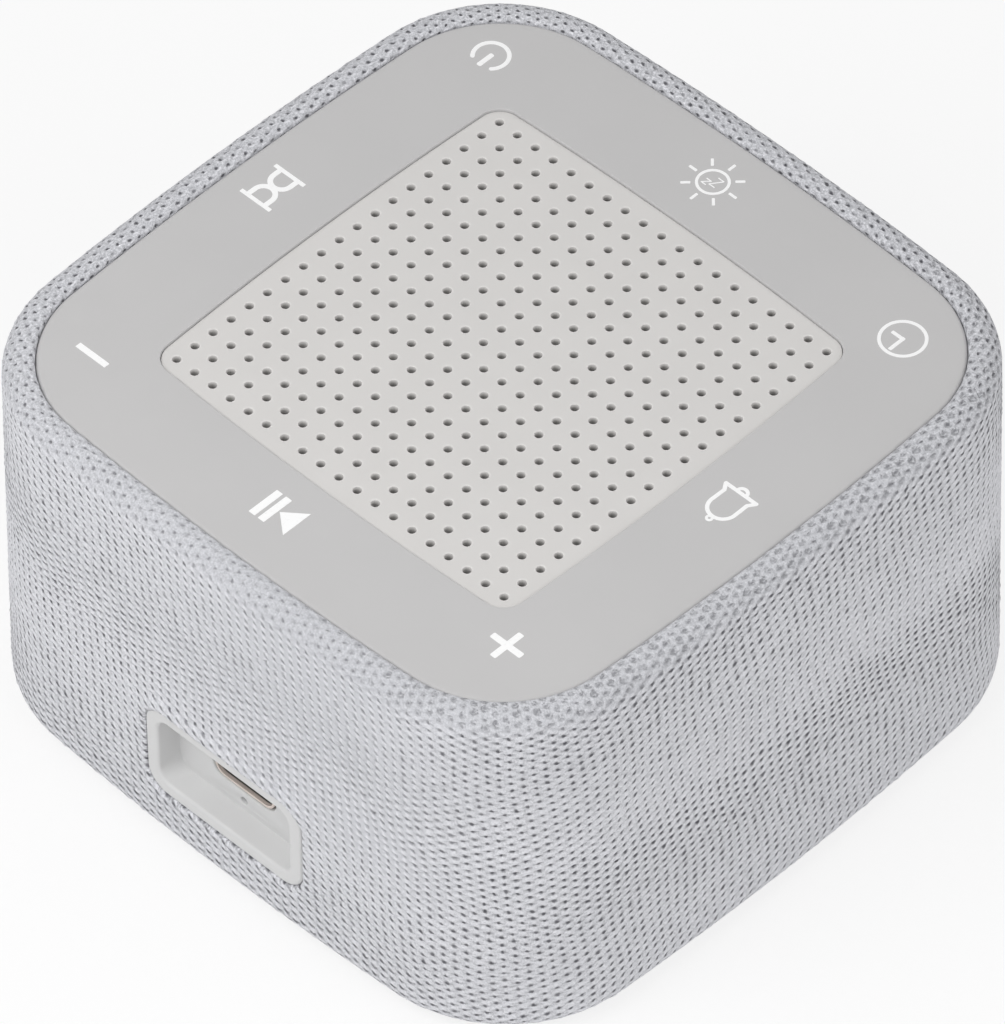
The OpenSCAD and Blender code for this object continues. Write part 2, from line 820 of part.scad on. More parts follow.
// A lamp behind every segment, and two behind the colon
module display_lamps() {
    color("lightyellow") translate([0, display_back_y - 0.3, display_z]) {
        for (x = digit_at, row = [-1:1])
            translate([x, 0, row * segment_row]) cube([1.2, 0.6, 0.6], center = true);
        for (x = digit_at, side = [-1, 1], row = [-0.5, 0.5])
            translate([x + side * segment_side, 0, row * segment_row]) cube([0.6, 0.6, 1.2], center = true);
        for (z = [-2, 2]) translate([0, 0, z]) cube([0.6, 0.6, 0.6], center = true);
    }
}

module display_screws() {
    color("silver") for (x = [-1, 1]) {
        upright(display_back_y + 1.2, display_back_y + 2.2)
            translate([x * display_posts_x, display_z]) circle(1.6);
        upright(display_back_y - 5, display_back_y + 1.2)
            translate([x * display_posts_x, display_z]) circle(0.78);
    }
}

// ---- Wiring ----

module key_ribbon() {
    top_z = key_board_z;
    run_x = -30.5;
    bend = [for (a = [0:15:90]) [run_x, board_z + 3] + 2 * [1 - cos(a), -sin(a)]];
    color("lightgray") translate([0, 7, 0]) rotate([90, 0, 0]) linear_extrude(6)
        strip(concat([[run_x, top_z], [run_x, board_z + 14]], bend, [[-28, board_z + 1]]), 0.3);
}

module display_ribbon() {
    start = [display_back_y + 1.2, 20];
    bend = [for (a = [90:-15:0]) [-30.5, 18] + 2 * [cos(a), sin(a)]];
    color("lightgray") translate([-5, 0, 0]) rotate([90, 0, 90]) linear_extrude(10)
        strip(concat([start, [-31.5, 20]], bend, [[-28.5, 16.2], [-27, 14.6], [-25.5, 14.1], [-24.5, 14.1]]), 0.3);
}

module speaker_leads() {
    color("black") for (side = [0, 1.6])
        wire([for (p = speaker_lead_route) p + [0, side, 0]], 0.6);
}

module battery_leads() {
    color("red") for (side = [0, -1.6])
        wire([for (p = battery_lead_route) p + [0, side, 0]], 0.6);
}

fabric_sleeve();
main_shell();
bottom_cover();
rubber_feet();
cover_screws();
key_panel();
speaker_grille();
dust_mesh();
key_pin(key_at[0]);  // power_key
key_pin(key_at[1]);  // dimmer_key
key_pin(key_at[2]);  // clock_key
key_pin(key_at[3]);  // alarm_key
key_pin(key_at[4]);  // volume_up_key
key_pin(key_at[5]);  // play_key
key_pin(key_at[6]);  // volume_down_key
key_pin(key_at[7]);  // timer_key
key_board();
key_switches();
key_domes();
key_board_screws();
speaker_gasket();
speaker_basket();
speaker_surround();
speaker_spider();
speaker_cone();
dust_cap();
voice_coil();
speaker_top_plate();
speaker_magnet();
speaker_yoke();
speaker_terminals();
speaker_screws();
port_bezel();
socket_shell();
socket_tongue();
charge_lamp();
main_board();
board_chips();
board_capacitors();
board_connectors();
board_screws();
battery_cell();
battery_pad();
display_mask();
display_film();
display_board();
display_lamps();
display_screws();
key_ribbon();
display_ribbon();
speaker_leads();
battery_leads();
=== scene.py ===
"""A small bedside sound machine in a knitted sleeve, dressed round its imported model.

The frame gives every part its place. This script knits the sleeve, moulds the soft key panel and
prints its signs, drills the sound grille, frames the socket's recess, finishes each inner part,
and sets up the studio that shows it.
"""

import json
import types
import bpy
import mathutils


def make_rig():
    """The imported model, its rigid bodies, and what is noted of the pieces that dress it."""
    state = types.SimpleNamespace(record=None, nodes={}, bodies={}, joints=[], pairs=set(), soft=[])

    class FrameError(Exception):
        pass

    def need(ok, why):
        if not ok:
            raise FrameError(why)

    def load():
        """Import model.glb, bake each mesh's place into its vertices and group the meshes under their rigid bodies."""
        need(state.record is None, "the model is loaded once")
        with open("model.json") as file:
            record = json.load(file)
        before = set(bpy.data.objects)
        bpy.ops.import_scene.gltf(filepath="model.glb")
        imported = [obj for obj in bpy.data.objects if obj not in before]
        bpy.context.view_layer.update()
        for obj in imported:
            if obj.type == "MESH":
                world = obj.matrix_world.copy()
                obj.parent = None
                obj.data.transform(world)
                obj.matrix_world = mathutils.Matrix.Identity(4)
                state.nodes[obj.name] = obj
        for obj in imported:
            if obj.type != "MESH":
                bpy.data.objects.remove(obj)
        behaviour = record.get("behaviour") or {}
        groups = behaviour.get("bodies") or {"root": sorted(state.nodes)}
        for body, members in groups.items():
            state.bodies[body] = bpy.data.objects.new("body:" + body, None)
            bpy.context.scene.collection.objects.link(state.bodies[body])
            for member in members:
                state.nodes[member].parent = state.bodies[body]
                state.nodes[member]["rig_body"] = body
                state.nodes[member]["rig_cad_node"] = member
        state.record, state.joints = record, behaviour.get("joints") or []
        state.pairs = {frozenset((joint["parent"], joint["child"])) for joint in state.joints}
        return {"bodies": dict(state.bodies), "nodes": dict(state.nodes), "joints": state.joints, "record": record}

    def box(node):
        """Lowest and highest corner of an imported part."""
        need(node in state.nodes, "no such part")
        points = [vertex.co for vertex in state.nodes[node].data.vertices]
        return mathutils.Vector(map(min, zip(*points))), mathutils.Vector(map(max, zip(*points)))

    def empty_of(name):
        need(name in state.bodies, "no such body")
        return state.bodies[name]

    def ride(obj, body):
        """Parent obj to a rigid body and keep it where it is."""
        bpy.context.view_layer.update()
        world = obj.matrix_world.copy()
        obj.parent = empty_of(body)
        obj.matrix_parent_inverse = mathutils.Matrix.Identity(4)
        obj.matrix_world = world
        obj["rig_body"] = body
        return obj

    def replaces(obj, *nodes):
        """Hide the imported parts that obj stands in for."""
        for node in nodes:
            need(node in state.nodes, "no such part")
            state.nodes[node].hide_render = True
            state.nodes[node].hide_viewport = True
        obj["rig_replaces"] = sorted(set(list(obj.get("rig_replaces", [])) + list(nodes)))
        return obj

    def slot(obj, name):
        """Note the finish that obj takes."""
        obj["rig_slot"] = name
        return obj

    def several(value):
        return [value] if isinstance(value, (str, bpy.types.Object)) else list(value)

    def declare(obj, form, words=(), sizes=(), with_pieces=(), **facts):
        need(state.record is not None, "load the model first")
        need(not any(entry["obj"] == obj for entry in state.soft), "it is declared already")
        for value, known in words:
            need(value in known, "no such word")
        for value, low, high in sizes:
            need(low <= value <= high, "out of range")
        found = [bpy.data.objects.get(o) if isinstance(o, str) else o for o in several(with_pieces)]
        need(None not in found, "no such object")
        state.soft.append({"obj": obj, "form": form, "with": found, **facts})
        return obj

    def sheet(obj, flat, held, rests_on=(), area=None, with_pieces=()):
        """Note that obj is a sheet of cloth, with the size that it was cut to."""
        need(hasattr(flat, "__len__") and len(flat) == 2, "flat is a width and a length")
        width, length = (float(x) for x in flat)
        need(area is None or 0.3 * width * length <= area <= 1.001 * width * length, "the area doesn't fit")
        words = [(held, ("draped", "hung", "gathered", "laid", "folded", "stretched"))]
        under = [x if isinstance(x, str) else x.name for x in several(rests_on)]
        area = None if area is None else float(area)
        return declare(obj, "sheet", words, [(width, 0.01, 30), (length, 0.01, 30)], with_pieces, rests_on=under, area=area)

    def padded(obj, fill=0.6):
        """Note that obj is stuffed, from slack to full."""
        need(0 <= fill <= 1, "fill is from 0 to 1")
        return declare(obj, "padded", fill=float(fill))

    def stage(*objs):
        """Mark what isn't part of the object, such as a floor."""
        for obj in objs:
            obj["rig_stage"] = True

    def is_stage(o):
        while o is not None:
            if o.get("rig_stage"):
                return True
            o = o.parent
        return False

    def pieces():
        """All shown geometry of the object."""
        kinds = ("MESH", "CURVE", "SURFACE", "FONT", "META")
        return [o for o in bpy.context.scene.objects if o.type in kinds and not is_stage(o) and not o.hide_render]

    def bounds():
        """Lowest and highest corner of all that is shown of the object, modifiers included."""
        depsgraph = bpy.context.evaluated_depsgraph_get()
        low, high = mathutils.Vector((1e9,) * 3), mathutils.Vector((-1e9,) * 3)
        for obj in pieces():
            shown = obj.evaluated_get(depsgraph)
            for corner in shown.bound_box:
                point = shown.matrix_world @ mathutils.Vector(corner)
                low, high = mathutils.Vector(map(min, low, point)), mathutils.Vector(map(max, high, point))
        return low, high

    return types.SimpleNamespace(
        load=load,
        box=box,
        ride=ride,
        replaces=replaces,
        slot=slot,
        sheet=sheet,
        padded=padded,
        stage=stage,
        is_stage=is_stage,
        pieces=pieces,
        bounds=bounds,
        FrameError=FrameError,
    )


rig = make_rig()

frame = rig.load()
CAD_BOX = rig.bounds()

import json
import logging
import math
from dataclasses import dataclass, field
from enum import Enum
from typing import Sequence, Union

import bmesh
import bpy
import numpy as np
from mathutils import Matrix, Vector
from mathutils.geometry import delaunay_2d_cdt

LOG = logging.getLogger("sound_machine")
MM = 0.001
HOUSING = "housing"
Amount = Union["Value", float]
Point = tuple[float, float]


def paint(code: str) -> tuple[float, float, float, float]:
    """The linear colour of an sRGB hex code.

    Args:
        code: Six hex digits.

    Returns:
        Red, green, blue and an alpha of one.
    """
    parts = [int(code[i:i + 2], 16) / 255 for i in (0, 2, 4)]
    linear = [c / 12.92 if c <= 0.04045 else ((c + 0.055) / 1.055) ** 2.4 for c in parts]
    return (*linear, 1.0)


def shade(code: str, amount: float) -> tuple[float, float, float, float]:
    """The colour of a hex code, made lighter or darker.

    Args:
        code: Six hex digits.
        amount: What its light is multiplied by.

    Returns:
        Red, green, blue and an alpha of one.
    """
    return (*(min(1.0, c * amount) for c in paint(code)[:3]), 1.0)


# ---- Shader maths ----


class Wire:
    """A shader socket that carries a colour or a vector."""

    def __init__(self, graph: "Graph", socket: bpy.types.NodeSocket) -> None:
        """Keeps the socket and the graph it belongs to."""
        self.graph = graph
        self.socket = socket

    def plus(self, other: "Wire | tuple[float, ...]") -> "Wire":
        """The sum of two vectors."""
        return self.graph.vector("ADD", self, other)

    def scaled(self, amount: Amount) -> "Wire":
        """The vector times a number."""
        node = self.graph.node("ShaderNodeVectorMath", {"operation": "SCALE"}, {0: self, "Scale": amount})
        return Wire(self.graph, node.outputs[0])

    def stretched(self, factors: tuple[float, float, float]) -> "Wire":
        """The vector with each part times a factor of its own."""
        return self.graph.vector("MULTIPLY", self, factors)

    def mixed(self, other: "Wire | tuple[float, ...]", factor: Amount) -> "Wire":
        """This colour mixed towards another.

        Args:
            other: The other colour.
            factor: How far the mix goes, from 0 to 1.

        Returns:
            The mixed colour.
        """
        return self.graph.mix(self, other, factor)

    def parts(self) -> tuple["Value", "Value", "Value"]:
        """The vector's three numbers."""
        node = self.graph.node("ShaderNodeSeparateXYZ", {}, {0: self})
        return tuple(Value(self.graph, node.outputs[i]) for i in range(3))


class Value(Wire):
    """A number that varies over a surface. An expression on it adds its Math nodes."""

    def _math(self, operation: str, *numbers: Amount) -> "Value":
        """One Math node.

        Args:
            operation: The node's operation.
            numbers: Its inputs, in order.

        Returns:
            The node's result.
        """
        node = self.graph.node("ShaderNodeMath", {"operation": operation}, dict(enumerate(numbers)))
        return Value(self.graph, node.outputs[0])

    def __add__(self, other: Amount) -> "Value":
        """self + other."""
        return self._math("ADD", self, other)

    def __radd__(self, other: Amount) -> "Value":
        """other + self."""
        return self._math("ADD", other, self)

    def __sub__(self, other: Amount) -> "Value":
        """self - other."""
        return self._math("SUBTRACT", self, other)

    def __rsub__(self, other: Amount) -> "Value":
        """other - self."""
        return self._math("SUBTRACT", other, self)

    def __mul__(self, other: Amount) -> "Value":
        """self * other."""
        return self._math("MULTIPLY", self, other)

    def __rmul__(self, other: Amount) -> "Value":
        """other * self."""
        return self._math("MULTIPLY", other, self)

    def __truediv__(self, other: Amount) -> "Value":
        """self / other."""
        return self._math("DIVIDE", self, other)

    def __pow__(self, other: Amount) -> "Value":
        """self ** other."""
        return self._math("POWER", self, other)

    def __abs__(self) -> "Value":
        """abs(self)."""
        return self._math("ABSOLUTE", self)

    def __round__(self) -> "Value":
        """round(self)."""
        return self._math("ROUND", self)

    def greatest(self, other: Amount) -> "Value":
        """The larger of the two."""
        return self._math("MAXIMUM", self, other)

    def least(self, other: Amount) -> "Value":
        """The smaller of the two."""
        return self._math("MINIMUM", self, other)

    def cosine(self) -> "Value":
        """The cosine of the number, in radians."""
        return self._math("COSINE", self)

    def sine(self) -> "Value":
        """The sine of the number, in radians."""
        return self._math("SINE", self)

    def to_and_fro(self, reach: float) -> "Value":
        """The number folded back and forth between 0 and reach."""
        return self._math("PINGPONG", self, reach)

    def above(self, limit: Amount) -> "Value":
        """One where the number is over the limit, and zero elsewhere."""
        return self._math("GREATER_THAN", self, limit)

    def rise(self, low: float, high: float) -> "Value":
        """A smooth step from 0 at low to 1 at high.

        Args:
            low: Where the step starts.
            high: Where it ends. It may be lower than low, and the step then falls.

        Returns:
            The step, from 0 to 1.
        """
        falls = low > high
        node = self.graph.node(
            "ShaderNodeMapRange", {"interpolation_type": "SMOOTHSTEP"},
            {"Value": self, "From Min": min(low, high), "From Max": max(low, high),
             "To Min": float(falls), "To Max": float(not falls)})
        return Value(self.graph, node.outputs[0])


class Graph:
    """A material and the nodes it is built from. Places are in millimetres."""

    def __init__(self, name: str) -> None:
        """Starts an empty material."""
        self.material = bpy.data.materials.new(name)
        self.material.use_nodes = True
        self.tree = self.material.node_tree
        self.tree.nodes.clear()

    def node(self, kind: str, settings: dict | None = None, inputs: dict | None = None) -> bpy.types.Node:
        """Adds one node.

        Args:
            kind: The node's type.
            settings: Its own settings, or a ramp's stops, which are set first.
            inputs: Numbers, colours or wires for its sockets, by name or by place.

        Returns:
            The node.
        """
        node = self.tree.nodes.new(kind)
        for key, value in (settings or {}).items():
            if key == "stops":
                self._set_stops(node.color_ramp, value)
            else:
                setattr(node, key, value)
        for key, value in (inputs or {}).items():
            if isinstance(value, Wire):
                self.tree.links.new(value.socket, node.inputs[key])
            else:
                node.inputs[key].default_value = value
        return node

    @staticmethod
    def _set_stops(ramp: bpy.types.ColorRamp, stops: Sequence[tuple[float, tuple]]) -> None:
        """Gives a ramp its stops.

        Args:
            ramp: The ramp.
            stops: Places and colours, in rising order.
        """
        while len(ramp.elements) < len(stops):
            ramp.elements.new(1.0)
        for element, (at, colour) in zip(ramp.elements, stops):
            element.position = at
            element.color = colour

    def vector(self, operation: str, *parts: "Wire | tuple[float, ...]") -> Wire:
        """The result of one Vector Math node."""
        node = self.node("ShaderNodeVectorMath", {"operation": operation}, dict(enumerate(parts)))
        return Wire(self, node.outputs[0])

    def join(self, x: Amount, y: Amount, z: Amount = 0.0) -> Wire:
        """Three numbers as one vector."""
        return Wire(self, self.node("ShaderNodeCombineXYZ", {}, {0: x, 1: y, 2: z}).outputs[0])

    def mix(self, first: "Wire | tuple", second: "Wire | tuple", factor: Amount) -> Wire:
        """Two colours mixed by a factor from 0 to 1."""
        node = self.node("ShaderNodeMix", {"data_type": "RGBA"}, {0: factor, 6: first, 7: second})
        return Wire(self, node.outputs[2])

    def place(self) -> Wire:
        """The point on the piece, in millimetres."""
        node = self.node("ShaderNodeTexCoord")
        return Wire(self, node.outputs["Object"]).scaled(1 / MM)

    def mapped(self, name: str) -> tuple[Value, Value]:
        """The two numbers of a UV map."""
        node = self.node("ShaderNodeUVMap", {"uv_map": name})
        across, along, _ = Wire(self, node.outputs[0]).parts()
        return across, along

    def noise(self, where: Wire, size: float, detail: float = 2.0, rough: float = 0.5) -> Value:
        """Cloudy noise.

        Args:
            where: The point, in millimetres.
            size: The width of its largest features.
            detail: How many finer layers it has.
            rough: How strong they are.

        Returns:
            The noise, round 0.5.
        """
        node = self.node("ShaderNodeTexNoise", {"noise_dimensions": "3D"},
                         {"Vector": where, "Scale": 1 / size, "Detail": detail, "Roughness": rough})
        return Value(self, node.outputs[0])

    def cells(self, where: Wire, size: float, feature: str = "F1") -> tuple[Value, Wire]:
        """Voronoi cells.

        Args:
            where: The point, in millimetres.
            size: The width of a cell.
            feature: What is measured, as the node names it.

        Returns:
            The distance and the cell's own colour.
        """
        node = self.node("ShaderNodeTexVoronoi", {"feature": feature}, {"Vector": where, "Scale": 1 / size})
        return Value(self, node.outputs["Distance"]), Wire(self, node.outputs[1])

    def chance(self, where: Wire) -> Value:
        """A random number from 0 to 1 that is fixed for each point."""
        node = self.node("ShaderNodeTexWhiteNoise", {"noise_dimensions": "3D"}, {"Vector": where})
        return Value(self, node.outputs[0])

    def ramp(self, value: Value, stops: Sequence[tuple[float, tuple]]) -> Wire:
        """A number turned into a colour by a ramp's stops."""
        return Wire(self, self.node("ShaderNodeValToRGB", {"stops": stops}, {0: value}).outputs[0])

    def bump(self, height: Value, depth: float, under: Wire | None = None, strength: float = 1.0) -> Wire:
        """A normal from a height.

        Args:
            height: The height, where 1 is depth high.
            depth: That height in millimetres.
            under: A bumped normal that this one adds to.
            strength: How much of it shows.

        Returns:
            The normal.
        """
        inputs = {"Strength": strength, "Distance": depth * MM, "Height": height}
        if under is not None:
            inputs["Normal"] = under
        return Wire(self, self.node("ShaderNodeBump", {}, inputs).outputs[0])

    def surface(self, constants: dict, links: dict) -> bpy.types.Material:
        """Ends the material in a principled shader.

        Args:
            constants: Numbers and colours for its sockets.
            links: Wires for the sockets that vary.

        Returns:
            The finished material.
        """
        shader = self.node("ShaderNodeBsdfPrincipled", {}, {**constants, **links})
        output = self.node("ShaderNodeOutputMaterial")
        self.tree.links.new(shader.outputs[0], output.inputs["Surface"])
        return self.material


# ---- Finishes ----


@dataclass(frozen=True)
class Moulded:
    """Injection-moulded plastic with a fine spark texture and a trace of settled dust."""

    name: str
    colour: str
    roughness: float = 0.46
    grain: float = 0.16
    depth: float = 0.004
    mottle: float = 0.025
    specks: float = 0.0
    specular: float = 0.45

    def material(self) -> bpy.types.Material:
        """The plastic's material."""
        graph = Graph(self.name)
        at = graph.place()
        fine = graph.noise(at, self.grain, 2, 0.6)
        broad = graph.noise(at, 2.6, 2)
        normal = graph.bump(broad, 0.01, graph.bump(fine, self.depth))
        return graph.surface(
            {"Specular IOR Level": self.specular},
            {"Base Color": self._tone(graph, at), "Roughness": self.roughness - 0.05 + 0.1 * fine, "Normal": normal})

    def _tone(self, graph: Graph, at: Wire) -> Wire:
        """The plastic's colour: a faint cloud, and dirt specks where it has them.

        Args:
            graph: The material's graph.
            at: The point, in millimetres.

        Returns:
            The colour.
        """
        cloud = graph.noise(at, 7.0, 3)
        tone = graph.mix(shade(self.colour, 1 - self.mottle), shade(self.colour, 1 + self.mottle),
                         cloud.rise(0.3, 0.7))
        if not self.specks:
            return tone
        distance, own = graph.cells(at, 5.5)
        share, size, _ = own.parts()
        fleck = (size * 0.018 + 0.012 - distance).rise(0.0, 0.01) * share.rise(0.55, 0.6)
        return tone.mixed(shade(self.colour, 0.35), fleck * self.specks)


@dataclass(frozen=True)
class DrilledPlastic(Moulded):
    """Moulded plastic with rows of holes, with a painted highlight at their mouths and painted shade down inside them.
    """

    face: float = 0.0
    pitch: float = 2.7
    hole: float = 0.475
    last: int = 9

    def _tone(self, graph: Graph, at: Wire) -> Wire:
        """The plastic's colour, with a painted highlight round each hole's mouth and painted shade down in it.

        Args:
            graph: The material's graph.
            at: The point, in millimetres.

        Returns:
            The colour.
        """
        x, y, z = at.parts()
        off_x, off_y = [v - round(v / self.pitch).least(self.last).greatest(-self.last) * self.pitch for v in (x, y)]
        away = (off_x * off_x + off_y * off_y) ** 0.5
        # Painted highlight: the lip round each hole's mouth is paler, where it catches the light.
        mouth = away.rise(self.hole + 0.26, self.hole + 0.1) * away.rise(self.hole - 0.02, self.hole + 0.03)
        tone = super()._tone(graph, at).mixed(shade(self.colour, 1.09), mouth * 0.75)
        # Painted shade: each hole gets darker below the face, where little light reaches.
        return tone.mixed(shade(self.colour, 0.64), (self.face - z).rise(0.12, 0.7) * away.rise(self.hole + 0.1, self.hole))


@dataclass(frozen=True)
class Silicone:
    """Soft matt rubber with a bloom, broad unevenness and lint caught on it."""

    name: str
    colour: str
    roughness: float = 0.6
    dust: float = 0.5
    bloom: float = 0.12

    def material(self) -> bpy.types.Material:
        """The rubber's material."""
        graph = Graph(self.name)
        at = graph.place()
        cloud = graph.noise(at, 16.0, 3, 0.55)
        patch = graph.noise(at, 3.4, 3, 0.6)
        tone = graph.mix(shade(self.colour, 0.988), shade(self.colour, 1.012), cloud.rise(0.3, 0.7))
        tone = tone.mixed(shade(self.colour, 1.03), patch.rise(0.6, 0.8) * 0.3)
        distance, own = graph.cells(at, 7.0)
        share, size, lean = own.parts()
        fleck = (size * 0.012 + 0.012 - distance).rise(0.0, 0.012) * share.rise(0.5, 0.55)
        tone = tone.mixed(shade(self.colour, 0.4), fleck * (0.35 + 0.5 * lean) * self.dust)
        fine = graph.noise(at, 0.11, 2, 0.65)
        normal = graph.bump(patch, 0.012, graph.bump(fine, 0.0035))
        return graph.surface(
            {"Specular IOR Level": 0.35, "Sheen Weight": self.bloom, "Sheen Roughness": 0.5},
            {"Base Color": tone, "Roughness": self.roughness - 0.06 + 0.12 * cloud, "Normal": normal})


@dataclass(frozen=True)
class PortPlace:
    """Where the socket's recess is on the back flank, in millimetres."""

    x: float
    z: float
    width: float
    height: float
    radius: float = 3.0


@dataclass(frozen=True)
class Knit:
    """The sleeve's knit: columns of loops with painted shade in a small opening in each, and a hairy yarn."""

    name: str
    yarn: str
    light_yarn: str
    # gap: the colour of the painted shade in the openings, the eyelets and the seam.
    gap: str
    port: PortPlace
    column: float = 1.28
    row: float = 1.116
    opening: tuple[float, float] = (0.25, 0.22)
    hem_opening: tuple[float, float] = (0.36, 0.33)
    hem_rows: float = 4.9
    skew: float = 0.08

    def material(self) -> bpy.types.Material:
        """The knit's material."""
        graph = Graph(self.name)
        at = graph.place()
        straight, along = graph.mapped(KnitSleeve.WEAVE_MAP)
        across = straight - self.skew * along
        cloth_at = graph.join(across * self.column, along * self.row, at.parts()[2] * 0.0)
        fibre = graph.noise(cloth_at, 0.31, 3, 0.7)
        sway = graph.noise(cloth_at, 0.8, 2, 0.6)
        broad = graph.noise(at, 13.0, 2)
        worn = graph.noise(at, 3.2, 2)
        x, y, z = at.parts()

        column = round(across)
        shift = column.to_and_fro(1.0) * 0.5
        row = round(along - shift) + shift
        own = graph.chance(graph.join(column, row * 2.0, 3.0))
        other = graph.chance(graph.join(column, row * 2.0, 8.0))
        off_x = (across - column) * self.column + (fibre - 0.5) * 0.3
        off_y = (along - row) * self.row + (sway - 0.5) * 0.36
        hem = along.rise(self.hem_rows + 0.7, self.hem_rows - 0.9)
        low = along.rise(27.0, 46.0)
        turn = ((x + y) / 22.0).least(1.0).greatest(-1.0)
        leaning_y = off_y - turn * off_x * 0.46

        # Painted shade in the openings between the loops: gap says how much of the gap colour stands in for the shade
        # inside each. It grows towards the bottom of the flanks (low) and is stronger on the -X flank, where turn is
        # below zero.
        plain = self._opening(off_x / (1 + 0.3 * abs(turn)), leaning_y, self.opening, 0.82 + 0.34 * other + 0.1 * low)
        eased = ((x + 14.0) / 24.0).least(9.0)
        eased = (1 - eased * eased).greatest(0.0) * y.above(38.0) * (1 - low) * z.rise(15.0, 26.0)
        strength = 0.84 + 0.34 * own + 0.3 * (broad - 0.5) + 0.2 * (worn - 0.5) - 0.45 * eased - 0.12 * turn
        tail = (1 - abs(leaning_y) / 0.2).greatest(0.0) * (0.42 - 0.12 * abs(off_x))
        gap = plain.rise(1.42, 0.35).greatest(tail) * strength.greatest(0.15).least(1.0) * (1 - hem)

        # Painted shade in the hem's eyelets: rings round its larger loops, darker on one side, and spots in them,
        # stronger on the side away from the camera (far).
        loop = self._opening(off_x, off_y, self.hem_opening, 0.9 + 0.25 * own)
        arc = graph.noise(cloth_at.scaled(1.0), 0.5, 1).rise(0.44, 0.6) + (off_y - off_x).rise(-0.3, 0.4) * 0.6
        ringed = 0.25 + 0.75 * (x + y).rise(36.0, 4.0) * (x - y).rise(45.0, 0.0)
        far = (x - y).rise(-45.0, 20.0)
        ring = loop.rise(0.35, 0.8) * loop.rise(1.5, 0.95) * arc.least(1.0) * ringed
        spot_x = off_x + (other - 0.5) * 0.26
        spot = self._opening(spot_x, off_y + (own - 0.5) * 0.24, (0.27, 0.17), 0.85 + 0.3 * own).rise(1.5, 0.3)
        spot = spot * (0.6 + 0.4 * other.rise(0.05, 0.4))
        eyelet = (ring * (0.26 + 0.28 * own)).greatest(spot * (0.55 + 0.45 * far)) * hem

        strand = graph.mix(shade(self.yarn, 0.8), paint(self.light_yarn), fibre.rise(0.28, 0.7))
        strand = strand.mixed(shade(self.yarn, 0.93), broad.rise(0.62, 0.38) * 0.2 + eased * 0.85)
        # Painted highlight on each loop's crown, between the openings above and below it, where the yarn catches the
        # light.
        rise = abs(leaning_y) - 0.48
        crown = 1 - (off_x * off_x) / 0.16 - rise * rise / 0.05
        strand = strand.mixed(paint(self.light_yarn), crown.greatest(0.0) * 0.7 * (1 - hem))
        lean = abs(across - column) * 1.1
        chevron = ((along * 2.0 - lean) * (2 * math.pi) + sway * 3.0).cosine()
        strand = strand.mixed(shade(self.yarn, 0.76), chevron.rise(0.2, 1.0) * 0.2 * (1 - eased))
        strand = strand.mixed(shade(self.yarn, 0.88), hem * 0.7)
        strand = strand.mixed(shade(self.yarn, 0.6), fibre.rise(0.55, 0.36) * hem * (0.45 + 0.25 * far))
        # Pale fibres on the hem, the yarn's own tone made a painted highlight on the side away from the camera (far),
        # and a painted glint below each spot.
        strand = strand.mixed(paint(self.light_yarn), fibre.rise(0.55, 0.68) * hem * (0.4 + 0.6 * far))
        glint = self._opening(spot_x, off_y + 0.32, (0.34, 0.13), 1.0).rise(1.4, 0.4)
        strand = strand.mixed(paint(self.light_yarn), glint * hem * far * 0.75)
        # Painted light: the yarn is paler on the -X flank, where turn is below zero.
        strand = strand.mixed(paint(self.light_yarn), (0 - turn).greatest(0.0) * (1 - hem) * 0.1)
        # The openings and eyelets take the gap colour as painted shade.
        cloth = strand.mixed(paint(self.gap), gap.greatest(eyelet))
        # Painted shade in the slits of the knit that turns in round the socket's recess.
        seam_shade = self._seam(graph, at, fibre)
        cloth = cloth.mixed(shade(self.gap, 0.8), seam_shade)

        height = plain.rise(0.3, 1.6) * (1 - hem) + (1 - eyelet) * hem
        normal = graph.bump(height, 0.15)
        normal = graph.bump(chevron * 0.5 + 0.5, 0.02, normal)
        normal = graph.bump(fibre, 0.085, normal)
        return graph.surface(
            {"Specular IOR Level": 0.25, "Sheen Weight": 0.15, "Sheen Roughness": 0.6},
            {"Base Color": cloth, "Roughness": 0.84 + 0.14 * fibre, "Normal": normal})

    @staticmethod
    def _opening(off_x: Value, off_y: Value, size: tuple[float, float], grown: Amount) -> Value:
        """Distance from an opening's middle, which is one at its rim.

        Args:
            off_x: Distance across from its middle.
            off_y: Distance along.
            size: Its two radii.
            grown: What they are multiplied by.

        Returns:
            The distance.
        """
        x, y = off_x / size[0], off_y / size[1]
        return (x * x + y * y) ** 0.5 / grown

    def _seam(self, graph: Graph, at: Wire, fibre: Value) -> Value:
        """Painted shade in the slits between the loops that turn in round the socket's recess, and along the recess's
        edge.

        Args:
            graph: The material's graph.
            at: The point, in millimetres.
            fibre: The yarn's own noise.

        Returns:
            How much painted shade the seam gets, from 0 to 1.
        """
        port = self.port
        x, y, z = at.parts()
        past_x = (abs(x - port.x) - (port.width / 2 - port.radius)).greatest(0.0)
        past_z = (abs(z - port.z) - (port.height / 2 - port.radius)).greatest(0.0)
        distance = (past_x * past_x + past_z * past_z) ** 0.5 - port.radius
        upright_side = past_x.above(past_z)
        run = upright_side * (z * 1.35) + (1 - upright_side) * x
        ragged = graph.noise(at, 1.3, 2, 0.6)
        slit = ((run + (fibre - 0.5) * 0.8 + ragged * 2.0) * (2 * math.pi / 0.58)).sine().rise(0.1, 0.85)
        reach = 0.35 + 1.3 * (ragged - 0.35)
        covered = (z - port.z - port.height / 2 + 1.2).rise(0.0, 0.8)
        right = (port.x - port.width / 2 + 1.0 - x).rise(0.0, 0.8)
        edge = (reach - distance).rise(0.0, 0.5) * slit * 0.5 + distance.rise(0.1, 0.02) * 0.25
        return (edge * (1 - covered * 0.85) * (1 - right * 0.6) * y.above(38.0)).least(1.0)


